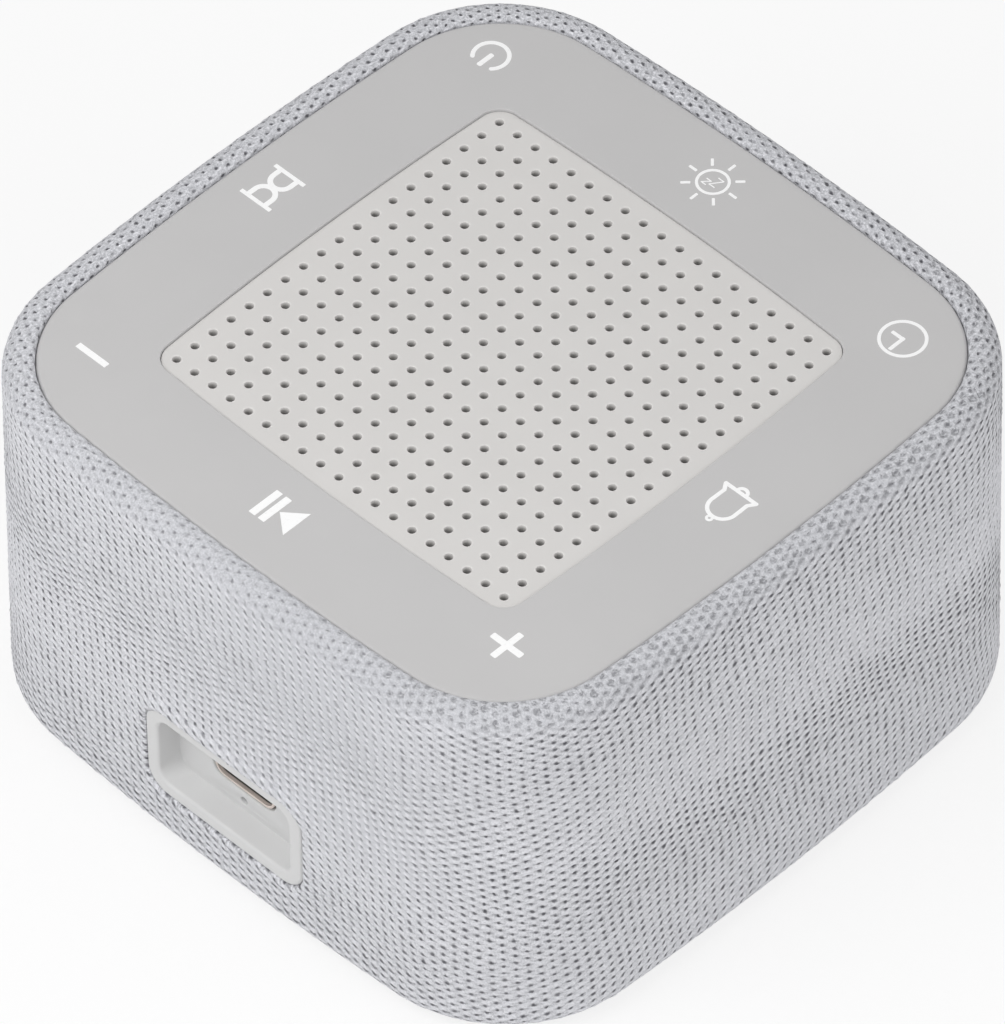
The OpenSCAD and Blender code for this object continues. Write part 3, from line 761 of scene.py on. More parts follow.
@dataclass(frozen=True)
class Ink:
    """Printed ink, a little thin in places."""

    name: str
    colour: str

    def material(self) -> bpy.types.Material:
        """The ink's material."""
        graph = Graph(self.name)
        at = graph.place()
        thin = graph.noise(at, 0.3, 3, 0.6)
        tone = graph.mix(paint(self.colour), shade(self.colour, 0.93), thin.rise(0.55, 0.75))
        return graph.surface(
            {"Specular IOR Level": 0.3},
            {"Base Color": tone, "Roughness": 0.55 + 0.1 * thin, "Normal": graph.bump(thin, 0.004)})


@dataclass(frozen=True)
class Metal:
    """Plated or rolled metal with scratches along one direction."""

    name: str
    colour: str
    roughness: float = 0.3
    lay: tuple[float, float, float] = (1.0, 14.0, 1.0)
    tarnish: float = 0.12
    metallic: float = 1.0

    def material(self) -> bpy.types.Material:
        """The metal's material."""
        graph = Graph(self.name)
        at = graph.place()
        lines = graph.noise(at.stretched(self.lay), 1.1, 3, 0.65)
        cloud = graph.noise(at, 4.0, 3)
        tone = graph.mix(paint(self.colour), shade(self.colour, 1 - 2 * self.tarnish), cloud.rise(0.45, 0.8))
        # Painted shade: the metal turns near black deep inside a shell, where little light reaches.
        tone = tone.mixed(shade(self.colour, 0.12), self._inside(at))
        return graph.surface(
            {"Metallic": self.metallic},
            {"Base Color": tone,
             "Roughness": self.roughness - 0.08 + 0.16 * lines + 0.1 * cloud.rise(0.5, 0.8),
             "Normal": graph.bump(lines, 0.006)})

    def _inside(self, at: Wire) -> Amount:
        """How much painted shade a point gets for lying deep inside its own shell, from 0 to 1."""
        return 0.0


@dataclass(frozen=True)
class SocketMetal(Metal):
    """Plated steel of a socket, dull in its mouth, with painted shade further in."""

    mouth: float = 0.0

    def _inside(self, at: Wire) -> Amount:
        """How much painted shade a point gets for lying deep inside the socket, from 0 to 1."""
        return (self.mouth - at.parts()[1]).rise(0.3, 0.5)


@dataclass(frozen=True)
class Laminate:
    """Circuit board: solder mask over copper runs, with a bare edge of glass cloth."""

    name: str
    mask: str
    copper: str
    pitch: float = 1.1

    def material(self) -> bpy.types.Material:
        """The board's material."""
        graph = Graph(self.name)
        at = graph.place()
        x, y, _ = at.parts()
        _, own = graph.cells(at.stretched((1.0, 1.0, 0.0)), 9.0)
        turn, share, _ = own.parts()
        upright_run = turn.above(0.5)
        run = upright_run * x + (1 - upright_run) * y
        line = abs((run / self.pitch * (2 * math.pi)).sine()).rise(0.75, 0.9) * share.rise(0.25, 0.4)
        weave = ((x * 9.0).sine() * (y * 9.0).sine()) * 0.5 + 0.5
        tone = graph.mix(paint(self.mask), paint(self.copper), line * 0.55)
        tone = tone.mixed(shade(self.mask, 0.7), weave * 0.25)
        return graph.surface(
            {"Coat Roughness": 0.2, "Specular IOR Level": 0.5},
            {"Base Color": tone, "Roughness": 0.32 + 0.1 * weave,
             "Normal": graph.bump(weave, 0.004, graph.bump(line, 0.03))})


@dataclass(frozen=True)
class Foam:
    """Open foam: small cells, dark between their walls."""

    name: str
    colour: str
    cell: float = 0.35

    def material(self) -> bpy.types.Material:
        """The foam's material."""
        graph = Graph(self.name)
        at = graph.place()
        distance, own = graph.cells(at, self.cell)
        share, _, _ = own.parts()
        wall = distance.rise(0.25, 0.6)
        tone = graph.mix(shade(self.colour, 0.45), paint(self.colour), wall)
        tone = tone.mixed(shade(self.colour, 1.25), share.rise(0.7, 0.9) * 0.4)
        return graph.surface(
            {"Specular IOR Level": 0.2},
            {"Base Color": tone, "Roughness": 0.86 + 0.1 * share, "Normal": graph.bump(wall, 0.12)})


@dataclass(frozen=True)
class Rubber:
    """Dull moulded rubber with a fine bloom and a scuffed face."""

    name: str
    colour: str
    scuff: str

    def material(self) -> bpy.types.Material:
        """The rubber's material."""
        graph = Graph(self.name)
        at = graph.place()
        fine = graph.noise(at, 0.2, 3, 0.6)
        cloud = graph.noise(at, 3.0, 4, 0.6)
        tone = graph.mix(paint(self.colour), paint(self.scuff), cloud.rise(0.5, 0.8) * 0.5)
        return graph.surface(
            {"Specular IOR Level": 0.35},
            {"Base Color": tone, "Roughness": 0.7 + 0.15 * cloud, "Normal": graph.bump(fine, 0.015)})


@dataclass(frozen=True)
class Cloth:
    """Plain-woven technical cloth, stiffened or bare."""

    name: str
    colour: str
    thread: float = 0.18
    stiff: float = 0.0

    def material(self) -> bpy.types.Material:
        """The cloth's material."""
        graph = Graph(self.name)
        at = graph.place()
        x, y, _ = at.parts()
        turn = math.pi / self.thread
        warp, weft = (x * turn).sine(), (y * turn).sine()
        over = (warp * weft).rise(-0.4, 0.4)
        pore = (1 - abs(warp)).rise(0.6, 0.95) * (1 - abs(weft)).rise(0.6, 0.95)
        hair = graph.noise(at, 0.1, 2, 0.7)
        tone = graph.mix(shade(self.colour, 0.8), shade(self.colour, 1.15), over)
        tone = tone.mixed(shade(self.colour, 0.25), pore * (1 - self.stiff))
        return graph.surface(
            {"Specular IOR Level": 0.2 + 0.2 * self.stiff},
            {"Base Color": tone, "Roughness": 0.9 - 0.3 * self.stiff + 0.08 * hair,
             "Normal": graph.bump(hair, 0.01, graph.bump(over, 0.04))})


@dataclass(frozen=True)
class Paper:
    """Pressed paper pulp with long fibres."""

    name: str
    colour: str

    def material(self) -> bpy.types.Material:
        """The paper's material."""
        graph = Graph(self.name)
        at = graph.place()
        one = graph.noise(at.stretched((1.0, 6.0, 1.0)), 0.9, 3, 0.7)
        two = graph.noise(at.stretched((6.0, 1.0, 1.0)), 0.9, 3, 0.7)
        felt = (one * two).rise(0.16, 0.36)
        tone = graph.mix(shade(self.colour, 0.75), shade(self.colour, 1.35), felt)
        return graph.surface(
            {"Specular IOR Level": 0.3},
            {"Base Color": tone, "Roughness": 0.75 + 0.15 * felt, "Normal": graph.bump(felt, 0.05)})


@dataclass(frozen=True)
class Winding:
    """Fine lacquered wire, wound turn beside turn round the Z axis."""

    name: str
    colour: str
    wire: float = 0.2

    def material(self) -> bpy.types.Material:
        """The winding's material."""
        graph = Graph(self.name)
        at = graph.place()
        _, _, z = at.parts()
        turns = abs((z * (math.pi / self.wire)).sine())
        cloud = graph.noise(at, 1.6, 3)
        tone = graph.mix(shade(self.colour, 0.35), paint(self.colour), turns.rise(0.1, 0.6))
        tone = tone.mixed(shade(self.colour, 1.3), cloud.rise(0.6, 0.8) * 0.4)
        return graph.surface(
            {"Coat Roughness": 0.15},
            {"Base Color": tone, "Metallic": turns.rise(0.1, 0.5), "Roughness": 0.28 + 0.15 * cloud,
             "Normal": graph.bump(turns, 0.07)})


@dataclass(frozen=True)
class Foil:
    """Aluminium laminate pouch with soft creases."""

    name: str
    colour: str

    def material(self) -> bpy.types.Material:
        """The foil's material."""
        graph = Graph(self.name)
        at = graph.place()
        crease, _ = graph.cells(at.plus(graph.join(graph.noise(at, 5.0, 2) * 6.0, 0.0, 0.0)), 8.0, "DISTANCE_TO_EDGE")
        cloud = graph.noise(at, 6.0, 4, 0.6)
        tone = graph.mix(paint(self.colour), shade(self.colour, 0.8), cloud.rise(0.5, 0.8))
        height = crease.rise(0.0, 0.12) * 0.6 + cloud * 0.6
        return graph.surface(
            {"Metallic": 0.75},
            {"Base Color": tone, "Roughness": 0.3 + 0.15 * cloud, "Normal": graph.bump(height, 0.12)})


@dataclass(frozen=True)
class Ferrite:
    """Sintered magnet: dark, dense, with pits and a ground face."""

    name: str
    colour: str

    def material(self) -> bpy.types.Material:
        """The magnet's material."""
        graph = Graph(self.name)
        at = graph.place()
        distance, own = graph.cells(at, 0.9)
        share, _, _ = own.parts()
        pit = distance.rise(0.3, 0.1) * share.rise(0.8, 0.85)
        grind = graph.noise(at.stretched((1.0, 9.0, 1.0)), 1.4, 3, 0.6)
        tone = graph.mix(paint(self.colour), shade(self.colour, 1.7), grind.rise(0.45, 0.75) * 0.6)
        tone = tone.mixed(shade(self.colour, 0.4), pit)
        return graph.surface(
            {"Specular IOR Level": 0.5},
            {"Base Color": tone, "Roughness": 0.42 + 0.2 * grind,
             "Normal": graph.bump(1 - pit, 0.05, graph.bump(grind, 0.01))})


@dataclass(frozen=True)
class Ribbon:
    """Flat flexible cable: bare conductors under a clear film."""

    name: str
    film: str
    conductor: str
    pitch: float = 0.5
    along_x: bool = False

    def material(self) -> bpy.types.Material:
        """The cable's material."""
        graph = Graph(self.name)
        at = graph.place()
        x, y, _ = at.parts()
        run = x if self.along_x else y
        strip = abs((run * (math.pi / self.pitch)).sine()).rise(0.55, 0.75)
        cloud = graph.noise(at, 2.0, 2)
        tone = graph.mix(paint(self.film), paint(self.conductor), strip * 0.8)
        return graph.surface(
            {"Specular IOR Level": 0.5, "Coat Weight": 0.3, "Coat Roughness": 0.1},
            {"Base Color": tone, "Roughness": 0.3 + 0.12 * cloud, "Normal": graph.bump(strip, 0.03)})


@dataclass(frozen=True)
class Film:
    """Clear or milky plastic film or lens, faintly uneven."""

    name: str
    colour: str
    roughness: float = 0.25
    glow: float = 0.0

    def material(self) -> bpy.types.Material:
        """The film's material."""
        graph = Graph(self.name)
        at = graph.place()
        cloud = graph.noise(at, 2.2, 3)
        fine = graph.noise(at, 0.25, 2)
        tone = graph.mix(paint(self.colour), shade(self.colour, 0.92), cloud.rise(0.4, 0.7))
        return graph.surface(
            {"Specular IOR Level": 0.5, "Coat Weight": 0.2, "Coat Roughness": 0.12,
             "Emission Strength": self.glow, "Emission Color": paint(self.colour)},
            {"Base Color": tone, "Roughness": self.roughness + 0.1 * cloud, "Normal": graph.bump(fine, 0.004)})


# ---- Meshes ----


def new_object(name: str, points: np.ndarray, faces: Sequence[Sequence[int]], finish: bpy.types.Material,
               crease: float = 35.0) -> bpy.types.Object:
    """Makes an object from points in millimetres.

    Args:
        name: The piece's name.
        points: Its vertices, one row each.
        faces: Vertex numbers of each face.
        finish: Its material.
        crease: Edges sharper than this angle, in degrees, stay sharp.

    Returns:
        The object, linked to the scene.
    """
    mesh = bpy.data.meshes.new(name)
    mesh.from_pydata((np.asarray(points, float) * MM).tolist(), [], [tuple(map(int, f)) for f in faces])
    mesh.update()
    mesh.shade_smooth()
    mesh.set_sharp_from_angle(angle=math.radians(crease))
    mesh.materials.append(finish)
    piece = bpy.data.objects.new(name, mesh)
    bpy.context.scene.collection.objects.link(piece)
    return piece


def quads(rings: int, around: int, wrap_rings: bool, wrap_points: bool = True) -> np.ndarray:
    """Faces of a grid of points, ring after ring.

    Args:
        rings: How many rings there are.
        around: How many points each ring has.
        wrap_rings: True if the last ring joins the first.
        wrap_points: True if each ring's last point joins its first.

    Returns:
        Four vertex numbers a face.
    """
    ring = np.arange(rings if wrap_rings else rings - 1)
    step = np.arange(around if wrap_points else around - 1)
    a = (ring[:, None] * around + step[None, :])
    b = (ring[:, None] * around + (step[None, :] + 1) % around)
    c = (((ring + 1) % rings)[:, None] * around + (step[None, :] + 1) % around)
    d = (((ring + 1) % rings)[:, None] * around + step[None, :])
    return np.stack([a, b, c, d], -1).reshape(-1, 4)


def loft(name: str, rings: Sequence[np.ndarray], finish: bpy.types.Material, closed: bool,
         crease: float = 35.0) -> bpy.types.Object:
    """Skins a run of rings of equal length, with its faces turned outwards.

    Args:
        name: The piece's name.
        rings: Each ring's points, in millimetres.
        finish: Its material.
        closed: True if the last ring joins the first; otherwise both ends are capped.
        crease: As for new_object.

    Returns:
        The object.
    """
    around = len(rings[0])
    faces = [tuple(f) for f in quads(len(rings), around, closed)]
    if not closed:
        last = (len(rings) - 1) * around
        faces.append(tuple(range(around - 1, -1, -1)))
        faces.append(tuple(range(last, last + around)))
    piece = new_object(name, np.concatenate(rings), faces, finish, crease)
    turn_outwards(piece)
    return piece


def turn_outwards(piece: bpy.types.Object) -> None:
    """Flips a closed piece's faces if they face inwards."""
    mesh = piece.data
    mesh.calc_loop_triangles()
    points = np.array([v.co for v in mesh.vertices], float)
    corners = np.array([t.vertices for t in mesh.loop_triangles])
    a, b, c = points[corners[:, 0]], points[corners[:, 1]], points[corners[:, 2]]
    if np.einsum("ij,ij->i", a, np.cross(b, c)).sum() < 0:
        mesh.flip_normals()


def cut(piece: bpy.types.Object, tool: bpy.types.Object, operation: str = "DIFFERENCE") -> None:
    """Cuts or joins one solid with another, which is then removed.

    Args:
        piece: The solid that stays.
        tool: The other solid.
        operation: The Boolean modifier's operation.
    """
    modifier = piece.modifiers.new("cut", "BOOLEAN")
    modifier.operation = operation
    modifier.solver = "EXACT"
    modifier.object = tool
    graph = bpy.context.evaluated_depsgraph_get()
    made = bpy.data.meshes.new_from_object(piece.evaluated_get(graph), depsgraph=graph)
    piece.modifiers.clear()
    old, piece.data = piece.data, made
    made.name = piece.name
    bpy.data.meshes.remove(old)
    bpy.data.objects.remove(tool)


def filled(outlines: Sequence[np.ndarray], holes: Sequence[np.ndarray] = (),
           extra: np.ndarray | None = None) -> tuple[np.ndarray, np.ndarray]:
    """Triangles that fill the union of flat outlines, less some holes.

    Args:
        outlines: Closed outlines, which may overlap.
        holes: Closed outlines that stay empty.
        extra: Further points for the triangles to meet at.

    Returns:
        The flat points and the triangles.
    """
    points, faces, count = [], [], 0
    for loop in [*outlines, *holes]:
        points.append(loop)
        faces.append(list(range(count, count + len(loop))))
        count += len(loop)
    if extra is not None:
        points.append(extra)
    flat = [Vector(p) for p in np.concatenate(points).tolist()]
    verts, _, triangles, _, _, owners = delaunay_2d_cdt(flat, [], faces, 1, 1e-6)
    kept = [t for t, own in zip(triangles, owners) if own and max(own) < len(outlines)]
    kept = np.array([t if _turn(verts, t) > 0 else t[::-1] for t in kept])
    return np.array([list(v) for v in verts]), kept


def _turn(verts: Sequence[Vector], face: Sequence[int]) -> float:
    """Twice a flat triangle's area, positive when it runs anticlockwise."""
    a, b, c = (verts[i] for i in face[:3])
    return (b.x - a.x) * (c.y - a.y) - (b.y - a.y) * (c.x - a.x)


def prism(flat: np.ndarray, triangles: np.ndarray, low: float, high: float) -> tuple[np.ndarray, list]:
    """A flat shape given thickness.

    Args:
        flat: Its points.
        triangles: Its triangles, anticlockwise.
        low: The underside's height.
        high: The top's height.

    Returns:
        The solid's points and faces.
    """
    used, where = np.unique(triangles, return_inverse=True)
    tops = where.reshape(-1, 3)
    base = flat[used]
    count = len(base)
    points = np.concatenate([np.c_[base, np.full(count, high)], np.c_[base, np.full(count, low)]])
    edges = {(t[i], t[(i + 1) % 3]) for t in tops.tolist() for i in range(3)}
    walls = [(b, a, a + count, b + count) for a, b in edges if (b, a) not in edges]
    return points, [*tops.tolist(), *(tops[:, ::-1] + count).tolist(), *walls]


def circle(centre: Point, radius: float, steps: int = 24) -> np.ndarray:
    """Points of a circle, anticlockwise."""
    angle = np.arange(steps) * 2 * math.pi / steps
    return np.c_[centre[0] + radius * np.cos(angle), centre[1] + radius * np.sin(angle)]


def rounded(width: float, height: float, radius: float, steps: int = 8) -> np.ndarray:
    """Points of a rectangle with rounded corners round the origin, anticlockwise."""
    corner = np.linspace(0, math.pi / 2, steps + 1)
    loops = []
    for quarter, (x, y) in enumerate([(1, 1), (-1, 1), (-1, -1), (1, -1)]):
        angle = corner + quarter * math.pi / 2
        loops.append(np.c_[x * (width / 2 - radius) + radius * np.cos(angle),
                           y * (height / 2 - radius) + radius * np.sin(angle)])
    return np.concatenate(loops)


def lathe(section: np.ndarray, steps: int = 96) -> list[np.ndarray]:
    """Rings round the Z axis through a closed section's points.

    Args:
        section: Radius and height of each point.
        steps: Points round each ring.

    Returns:
        One ring for each point.
    """
    angle = np.arange(steps) * 2 * math.pi / steps
    return [np.c_[r * np.cos(angle), r * np.sin(angle), np.full(steps, z)] for r, z in section]


def smooth_path(points: Sequence[Sequence[float]], per_span: int = 6) -> np.ndarray:
    """A smooth curve through given points.

    Args:
        points: The points it passes through.
        per_span: How many steps it takes between two of them.

    Returns:
        The curve's points.
    """
    p = np.array(points, float)
    p = np.concatenate([[2 * p[0] - p[1]], p, [2 * p[-1] - p[-2]]])
    made = []
    for a, b, c, d in zip(p, p[1:], p[2:], p[3:]):
        for t in np.arange(per_span) / per_span:
            made.append(0.5 * (2 * b + (c - a) * t + (2 * a - 5 * b + 4 * c - d) * t ** 2
                               + (3 * b - a - 3 * c + d) * t ** 3))
    return np.array([*made, p[-2]])


def swept(path: np.ndarray, section: np.ndarray, first_side: np.ndarray) -> list[np.ndarray]:
    """Rings of a section carried along a path without twist.

    Args:
        path: The path's points.
        section: The section's points, across and up.
        first_side: The direction that counts as across at the start.

    Returns:
        One ring for each point of the path.
    """
    rings, side = [], first_side.astype(float)
    for i in range(len(path)):
        way = path[min(i + 1, len(path) - 1)] - path[max(i - 1, 0)]
        way = way / np.linalg.norm(way)
        side = side - way * side.dot(way)
        side = side / np.linalg.norm(side)
        up = np.cross(way, side)
        rings.append(path[i] + section[:, :1] * side + section[:, 1:] * up)
    return rings


def place_on(piece: bpy.types.Object, slot: str | None, *nodes: str, body: str = HOUSING) -> bpy.types.Object:
    """Declares what a piece rides on, stands for and takes its finish from, and reports it.

    Args:
        piece: The piece.
        slot: The record's material slot, if it has one.
        nodes: The nodes it stands for.
        body: The body it moves with.

    Returns:
        The piece.
    """
    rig.ride(piece, body)
    if nodes:
        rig.replaces(piece, *nodes)
    if slot:
        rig.slot(piece, slot)
    LOG.info("%s: %d faces on %s", piece.name, len(piece.data.polygons), body)
    return piece


def extent(node: str) -> tuple[np.ndarray, np.ndarray]:
    """A node's lowest and highest corners, in millimetres."""
    low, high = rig.box(node)
    return np.array(low) / MM, np.array(high) / MM


# ---- The body's plan ----


@dataclass(frozen=True)
class BowedSquare:
    """A square with gently bowed sides and rounded corners, measured from its centre."""

    half: float
    corner: float
    flank: float = 460.0

    @property
    def flank_centre(self) -> float:
        """Where the right side's arc is centred, along X."""
        return self.half - self.flank

    @property
    def corner_centre(self) -> float:
        """Where each corner's arc is centred, along both axes."""
        reach = 2 * (self.flank - self.corner) ** 2 - self.flank_centre ** 2
        return (self.flank_centre + math.sqrt(reach)) / 2

    @property
    def flank_angle(self) -> float:
        """Half the angle that a side's arc turns through."""
        return math.atan2(self.corner_centre, self.corner_centre - self.flank_centre)

    @property
    def side_length(self) -> float:
        """The outline's length over one side and one corner."""
        return 2 * self.flank_angle * self.flank + (math.pi / 2 - 2 * self.flank_angle) * self.corner

    def at(self, share: np.ndarray, inset: np.ndarray | float = 0.0) -> tuple[np.ndarray, np.ndarray]:
        """Points of the outline.

        Args:
            share: How far round each point is, from 0 to 4, one for each side.
            inset: How far inwards it lies.

        Returns:
            The points and their outward directions.
        """
        share = np.asarray(share, float) % 4
        side = np.floor(share)
        run = (share - side) * self.side_length
        flank_run = 2 * self.flank_angle * self.flank
        on_flank = run < flank_run
        angle = np.where(on_flank, -self.flank_angle + run / self.flank,
                         self.flank_angle + (run - flank_run) / self.corner)
        radius = np.where(on_flank, self.flank, self.corner) - inset
        x = np.where(on_flank, self.flank_centre, self.corner_centre) + radius * np.cos(angle)
        y = np.where(on_flank, 0.0, self.corner_centre) + radius * np.sin(angle)
        turn = side * math.pi / 2
        points = np.stack([x * np.cos(turn) - y * np.sin(turn), x * np.sin(turn) + y * np.cos(turn)], -1)
        heading = angle + turn
        return points, np.stack([np.cos(heading), np.sin(heading)], -1)

    def ring(self, steps: int, inset: float, height: float, gather: bool = True) -> np.ndarray:
        """A ring of the outline at a height.

        Args:
            steps: How many points it has.
            inset: How far inwards it lies.
            height: Its height.
            gather: True to put half of the points on the corners.

        Returns:
            The ring's points.
        """
        share = self.shares(steps) if gather else np.arange(steps) * 4 / steps
        points, _ = self.at(share, inset)
        return np.c_[points, np.full(len(points), height)]

    def shares(self, steps: int) -> np.ndarray:
        """Places round the outline, with half of them on the corners."""
        split = 2 * self.flank_angle * self.flank / self.side_length
        each = steps // 8
        run = np.concatenate([np.arange(each) / each * split, split + np.arange(each) / each * (1 - split)])
        return np.concatenate([run + side for side in range(4)])


# ---- The knitted sleeve ----


@dataclass
class KnitSleeve:
    """The stretched knit over the flanks: every loop's opening is a dent in the mesh."""

    WEAVE_MAP = "Weave"
    BAKE_MAP = "OFBake"

    plan: BowedSquare
    columns: int = 248
    rows: int = 50
    thickness: float = 0.9
    hem_inset: float = 4.2
    hem_low: float = 47.95
    turn_inset: float = 4.6
    shoulder: float = 2.4
    draft: float = 0.6
    base_radius: float = 2.6
    dent: float = 0.2
    knot: float = 0.06
    seed: int = 7
    port_gap: float = 0.8
    body: tuple[np.ndarray, np.ndarray] = field(default_factory=lambda: extent("fabric_sleeve"))
    bezel: tuple[np.ndarray, np.ndarray] = field(default_factory=lambda: extent("port_bezel"))

    @property
    def port(self) -> PortPlace:
        """The socket recess's place."""
        low, high = self.bezel
        return PortPlace((low[0] + high[0]) / 2, (low[2] + high[2]) / 2, high[0] - low[0], high[2] - low[2])

    def section(self) -> np.ndarray:
        """The outer face's section, from the hem over the shoulder to the turned edge below.

        Returns:
            Inset and height of each point, closely spaced.
        """
        low, high = self.body[0][2], self.body[1][2]
        top = np.array([self.draft + self.shoulder, high - self.shoulder])
        base = np.array([self.base_radius, low + self.base_radius])
        over = [top + self.shoulder * np.array([math.cos(a), math.sin(a)])
                for a in np.linspace(math.pi / 2, math.pi, 24)]
        under = [base + self.base_radius * np.array([math.cos(a), math.sin(a)])
                 for a in np.linspace(math.pi, 1.5 * math.pi, 24)]
        hem = [(self.hem_inset, self.hem_low), (self.hem_inset, high - 0.6),
               (self.hem_inset - 0.1, high - 0.26), (self.hem_inset - 0.38, high - 0.06)]
        return np.array([*hem, *over, *under, (self.turn_inset, low)])

    def inner_section(self) -> np.ndarray:
        """The inner face's section, from the turned edge back up to the hem."""
        low, high = self.body[0][2], self.body[1][2]
        top = np.array([self.draft + self.shoulder, high - self.shoulder])
        base = np.array([self.base_radius, low + self.base_radius])
        small, big = self.shoulder - self.thickness, self.base_radius - self.thickness
        under = [base + big * np.array([math.cos(a), math.sin(a)]) for a in np.linspace(1.5 * math.pi, math.pi, 5)]
        over = [top + small * np.array([math.cos(a), math.sin(a)]) for a in np.linspace(math.pi, math.pi / 2, 5)]
        inner = self.hem_inset - self.thickness + 0.05
        return np.array([(self.turn_inset, low + self.thickness), *under, *over, (inner, high - self.thickness),
                         (inner, self.hem_low)])

    def sampled(self, count: int) -> tuple[np.ndarray, np.ndarray, float]:
        """The outer section at even steps.

        Args:
            count: How many points.

        Returns:
            The points, their outward directions, and the section's length.
        """
        line = self.section()
        run = np.concatenate([[0], np.cumsum(np.linalg.norm(np.diff(line, axis=0), axis=1))])
        at = np.linspace(0, run[-1], count)
        points = np.stack([np.interp(at, run, line[:, 0]), np.interp(at, run, line[:, 1])], -1)
        way = np.gradient(points, axis=0)
        way /= np.linalg.norm(way, axis=1)[:, None]
        return points, np.stack([way[:, 1], -way[:, 0]], -1), float(run[-1])

    def build(self, finish: bpy.types.Material) -> bpy.types.Object:
        """Knits the sleeve.

        Args:
            finish: The knit's material.

        Returns:
            The declared piece.
        """
        around, down = self.columns * 2, self.rows * 4
        share = np.arange(around) * 4 / around
        section, outward, length = self.sampled(down + 1)
        column = np.arange(around)[None, :] / 2
        row = np.arange(down + 1)[:, None] / 4
        slip_across, slip_down = self._slip(column, row)
        run = np.linspace(0, length, down + 1)
        fade = np.minimum(1, np.minimum(run, length - run) / 3)[:, None]
        moved = run[:, None] + slip_down * fade
        inset = np.interp(moved, run, section[:, 0])
        height = np.interp(moved, run, section[:, 1])
        out_x = np.interp(moved, run, outward[:, 0])
        out_z = np.interp(moved, run, outward[:, 1])
        relief = self._relief(column, row, fade)
        relief = relief + self._port_swell(share, section)
        per_mm = 1 / self.plan.side_length
        plan, _ = self.plan.at(share[None, :] + slip_across * per_mm, inset + relief * out_x)
        points = np.concatenate([plan, (height + relief * out_z)[..., None]], -1).reshape(-1, 3)
        faces = quads(down + 1, around, False)[:, ::-1].tolist()
        weave = self._weave_corners(around, down)

        inner = self.inner_section()
        few = around // 4
        start = len(points)
        rings = []
        for x, z in inner:
            flat, _ = self.plan.at(np.arange(few) * 4 / few, x)
            rings.append(np.c_[flat, np.full(few, z)])
        points = np.concatenate([points, *rings])
        faces += (quads(len(inner), few, False)[:, ::-1] + start).tolist()
        faces += self._stitched(down * around, around, start, few, False)
        faces += self._stitched(0, around, start + (len(inner) - 1) * few, few, True)

        piece = new_object("knit_sleeve", points, faces, finish, 180.0)
        self._map(piece, weave, around, down)
        cut(piece, self._port_tool(finish))
        place_on(piece, "knit_fabric", "fabric_sleeve")
        edge = self.build_port_edge(finish)
        round_it = 4 * self.plan.side_length
        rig.sheet(piece, flat=(round_it * MM, length * MM), held="stretched", rests_on=["main_shell"],
                 with_pieces=[edge])
        return piece

    def _slip(self, column: np.ndarray, row: np.ndarray) -> tuple[np.ndarray, np.ndarray]:
        """How far the stretched loops have crept from an even lattice.

        Args:
            column: Column numbers.
            row: Row numbers.

        Returns:
            Creep across and down, in millimetres.
        """
        random = np.random.default_rng(self.seed)
        slips = []
        for reach in (0.32, 0.3):
            total = np.zeros((row.shape[0], column.shape[1]))
            for _ in range(9):
                waves = random.integers(2, 15)
                pitch = random.uniform(9, 30)
                total += (np.sin(2 * math.pi * waves * column / self.columns + random.uniform(0, 6.28))
                          * np.sin(2 * math.pi * row / pitch + random.uniform(0, 6.28))) / 3
            total += random.normal(0, 0.035, total.shape) / reach
            slips.append(total * reach)
        return slips[0], slips[1]

    def _relief(self, column: np.ndarray, row: np.ndarray, fade: np.ndarray) -> np.ndarray:
        """The knit's height above its mean face.

        Args:
            column: Column numbers.
            row: Row numbers.
            fade: Zero at the two edges, where the knit lies flat, and one away from them.

        Returns:
            Millimetres outwards, for each vertex.
        """
        random = np.random.default_rng(self.seed + 1)
        lattice = np.cos(math.pi * column) * np.cos(2 * math.pi * row)
        shape = lattice.shape
        stretched = 1 + 0.5 * np.exp(-((row - 4.0) / 1.8) ** 2)
        dents = -self.dent * stretched * random.uniform(0.55, 1.25, shape) * np.maximum(lattice, 0)
        knots = self.knot * random.uniform(0.2, 1.4, shape) * np.maximum(-lattice, 0)
        hairs = random.normal(0, 0.012, shape)
        return (dents + knots + hairs) * (0.25 + 0.75 * fade)

    def _port_swell(self, share: np.ndarray, section: np.ndarray) -> np.ndarray:
        """How far the knit stands out round the socket's recess, where it is gathered to turn in.

        Args:
            share: Each column's place round the plan.
            section: Each row's inset and height.

        Returns:
            Millimetres outwards, for each vertex.
        """
        plan, _ = self.plan.at(share, 0.0)
        port = self.port
        far_x = np.maximum(np.abs(plan[:, 0] - port.x) - (port.width / 2 - port.radius), 0)[None, :]
        far_z = np.maximum(np.abs(section[:, 1] - port.z) - (port.height / 2 - port.radius), 0)[:, None]
        distance = np.hypot(far_x, far_z) - port.radius
        return 0.14 * np.exp(-(np.maximum(distance, 0) / 1.6) ** 2) * (plan[:, 1] > 38)[None, :]

